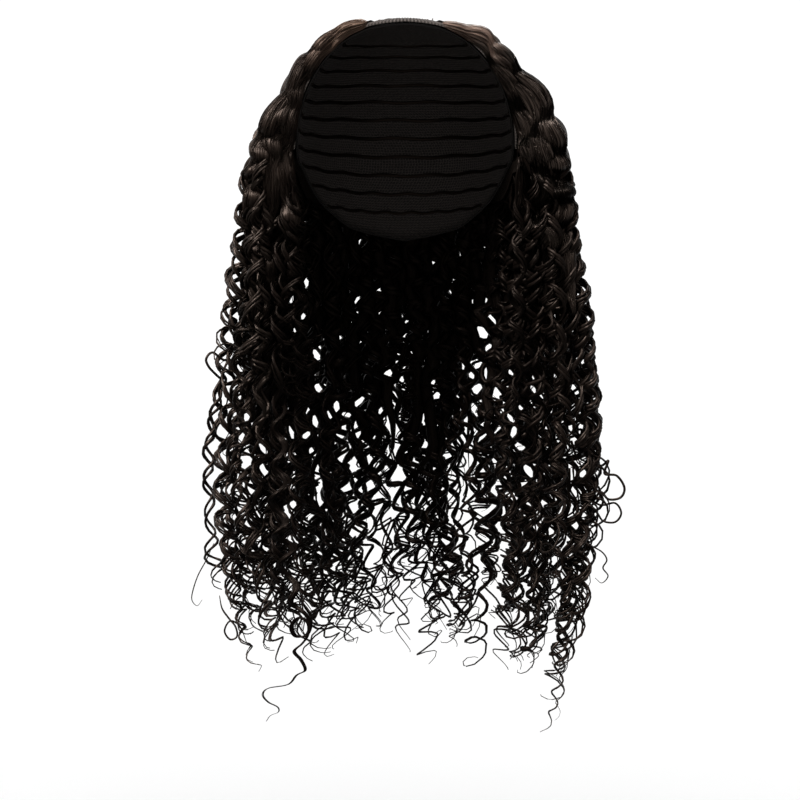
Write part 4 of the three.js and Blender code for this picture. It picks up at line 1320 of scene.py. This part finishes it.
# The thin lock that hangs apart at the front left: turning points of its waves.
FRONT_LOCK = np.array(
    [
        # x, y, z, radius
        (-96, 8, -236, 1.2),
        (-87, 4, -250, 1.4),
        (-95, -1, -264, 1.7),
        (-86, -7, -278, 2.0),
        (-94, -14, -291, 2.3),
        (-85, -21, -304, 2.6),
        (-93, -28, -317, 2.9),
        (-83.5, -34, -329, 3.0),
        (-94.5, -38, -342, 3.1),
        (-83.5, -41, -356, 3.0),
        (-92, -42, -366.5, 3.0),
        (-78, -43, -375, 2.8),
        (-88, -44, -386.5, 2.7),
        (-76.5, -46, -401, 2.5),
        (-80.5, -47, -412.6, 2.2),
        (-71.5, -48, -419, 2.0),
        (-66.5, -47, -427, 1.9),
        (-69, -45, -435.5, 1.8),
        (-76.5, -45, -436.5, 1.7),
        (-79.5, -48, -429.5, 1.6),
        (-75, -51, -423, 1.6),
        (-68.5, -52, -426, 1.5),
        (-68, -52, -434.5, 1.5),
        (-72, -51, -441, 1.4),
        (-77.5, -51, -446.5, 1.4),
        (-72.5, -52, -452.5, 1.3),
        (-69.8, -53, -459.5, 1.2),
        (-76, -53, -463, 1.1),
        (-82, -53, -469.5, 1.0),
        (-95.5, -54, -472, 0.9),
        (-99.3, -54, -476.5, 0.8),
        (-95.5, -55, -481.5, 0.7),
        (-89, -55, -485, 0.6),
        (-88.5, -55, -488.5, 0.5),
        (-94, -55, -491, 0.4),
        (-97, -55, -495, 0.3),
    ],
    float,
)


def make_front_lock():
    b = Batch()
    rng = np.random.default_rng(9)
    line = through(FRONT_LOCK, 6)
    at = np.arange(len(line)) / 6
    reach = np.interp(at, np.arange(len(FRONT_LOCK) - 1) + 0.5, np.abs(np.diff(FRONT_LOCK[:, 0])))
    reach = reach * smooth((-line[:, 2] - 250) / 30) * smooth((line[:, 2] + 424) / 12)
    line[:, 1] += 0.42 * reach * np.sin(np.pi * at)
    path, rad = line[:, :3], line[:, 3]
    s = np.r_[0, np.cumsum(np.linalg.norm(np.diff(path, axis=0), axis=1))]
    n = np.broadcast_to(np.array([0.0, -1.0, 0.0]), path.shape)
    for j, (dx, dy, k) in enumerate(
        ((0, 0.2, 0.5), (0.38, 0.1, 0.4), (-0.4, 0.05, 0.4), (0.15, -0.45, 0.34), (-0.25, -0.4, 0.34), (0.6, -0.2, 0.26), (-0.62, -0.15, 0.26), (0.45, -0.5, 0.2), (-0.05, -0.62, 0.22), (-0.5, -0.45, 0.2))
    ):
        wob = 1 + waver(rng, s, ((60, 0.5),))
        q = path + np.stack([dx * rad * wob, dy * rad, 0.3 * dx * rad], 1)
        lay(b, q, n, s, rad * k, 4 if k > 0.3 else 3, -0.2 + 0.05 * j)
    return b


# ---------------------------------------------------------------------------
# Pieces
# ---------------------------------------------------------------------------
def piece(batch, name, material, slot, *nodes):
    ob = batch.build(name)
    ob.data.materials.append(material)
    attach(ob, "root")
    if nodes:
        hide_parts(*nodes)
    if slot == "hair":
        hair.append(ob)
    print("PIECE", name, batch.triangles())
    return batch.triangles()


hair = []
total = piece(make_cap(), "cap_net", NET, "cap_net", "cap")
total += piece(make_wefts(), "cap_sewn_rows", HAIR, "cap_net")
total += piece(make_band(), "elastic_band", ELASTIC, "elastic", "u_part_band")
make_curls()
make_inner_clumps()
make_crown_back()
make_apart()
beds = make_crown_beds()
total += piece(beds["crown_left"], "crown_left", CROWN_HAIR, "hair", "crown_hair_left")
total += piece(beds["crown_right"], "crown_right", CROWN_HAIR, "hair", "crown_hair_right")
total += piece(
    beds["crown_back"], "crown_back", CROWN_HAIR, "hair",
    "crown_hair_back_left", "crown_hair_back_middle", "crown_hair_back_right",
)
combed = {"crown_strands_left": LEFT_CLUMP_HAIR_PAINTED_LIGHT, "crown_strands_right": RIGHT_CLUMP_HAIR_PAINTED_SHADE, "crown_strands_back": CLUMP_HAIR}
for name, batch in make_clumps().items():
    total += piece(batch, name, combed[name], "hair")
for name, nodes in GROUPS.items():
    inner = name.endswith("inner")
    outer = RIGHT_HAIR_PAINTED_SHADE if "right" in name else HAIR
    total += piece(batches[name], name, DARK_HAIR_PAINTED_SHADE if inner else outer, "hair", *nodes)
total += piece(make_front_lock(), "front_lock_strands", DARK_HAIR_PAINTED_SHADE, "hair", "front_lock")
print("PIECE total", total)

# ---------------------------------------------------------------------------
# Stage, light and camera
# ---------------------------------------------------------------------------
bpy.ops.mesh.primitive_plane_add(size=60, location=(0, 0, -0.6))
floor = bpy.context.object
floor.name = "floor"
fm, fnt, fb = new_material("floor_white")
fnoise = fnt.nodes.new("ShaderNodeTexNoise")
fnoise.inputs["Scale"].default_value = 3.0
fmix = fnt.nodes.new("ShaderNodeMix")
fmix.data_type = "RGBA"
fmix.inputs[6].default_value = (0.96, 0.96, 0.96, 1)
fmix.inputs[7].default_value = (0.98, 0.98, 0.98, 1)
fnt.links.new(fnoise.outputs[0], fmix.inputs[0])
fnt.links.new(fmix.outputs[2], fb.inputs["Base Color"])
fb.inputs["Roughness"].default_value = 0.9
floor.data.materials.append(fm)

world = bpy.data.worlds.new("studio")
bpy.context.scene.world = world
world.use_nodes = True
world.node_tree.nodes["Background"].inputs[0].default_value = (1, 1, 1, 1)
world.node_tree.nodes["Background"].inputs[1].default_value = 1.08


def lamp(name, kind, loc, target, power, size):
    data = bpy.data.lights.new(name, kind)
    data.energy = power
    if kind == "SUN":
        data.angle = math.radians(size)
    else:
        data.shape = "DISK"
        data.size = size
    ob = bpy.data.objects.new(name, data)
    ob.location = loc
    ob.rotation_mode = "QUATERNION"
    ob.rotation_quaternion = (Vector(target) - Vector(loc)).to_track_quat("-Z", "Y")
    bpy.context.scene.collection.objects.link(ob)
    return ob


# hair lights, which fall on the hair only
lit = bpy.data.collections.new("lit_hair")
for ob in hair:
    lit.objects.link(ob)
for ob in (
    lamp("key", "SUN", (-1.1, -0.9, 1.25), (0, 0, -0.2), 20.0, 12),
    lamp("high", "SUN", (0.0, -0.8, 1.8), (0, 0, -0.2), 9.0, 14),
    lamp("side", "SUN", (1.3, -0.9, 0.7), (0, 0, -0.2), 1.1, 16),
    lamp("rear", "SUN", (0.3, 1.3, 1.6), (0, 0, -0.2), 2.8, 20),
):
    ob.light_linking.receiver_collection = lit

cam = bpy.data.cameras.new("camera")
cam.sensor_width = 36
cam.lens = 112.5
camera = bpy.data.objects.new("camera", cam)
camera.location = (-0.0036, -1.8, -0.2707)
camera.rotation_euler = (math.radians(90), 0, 0)
bpy.context.scene.collection.objects.link(camera)
bpy.context.scene.camera = camera
bpy.context.scene.view_settings.view_transform = "Standard"
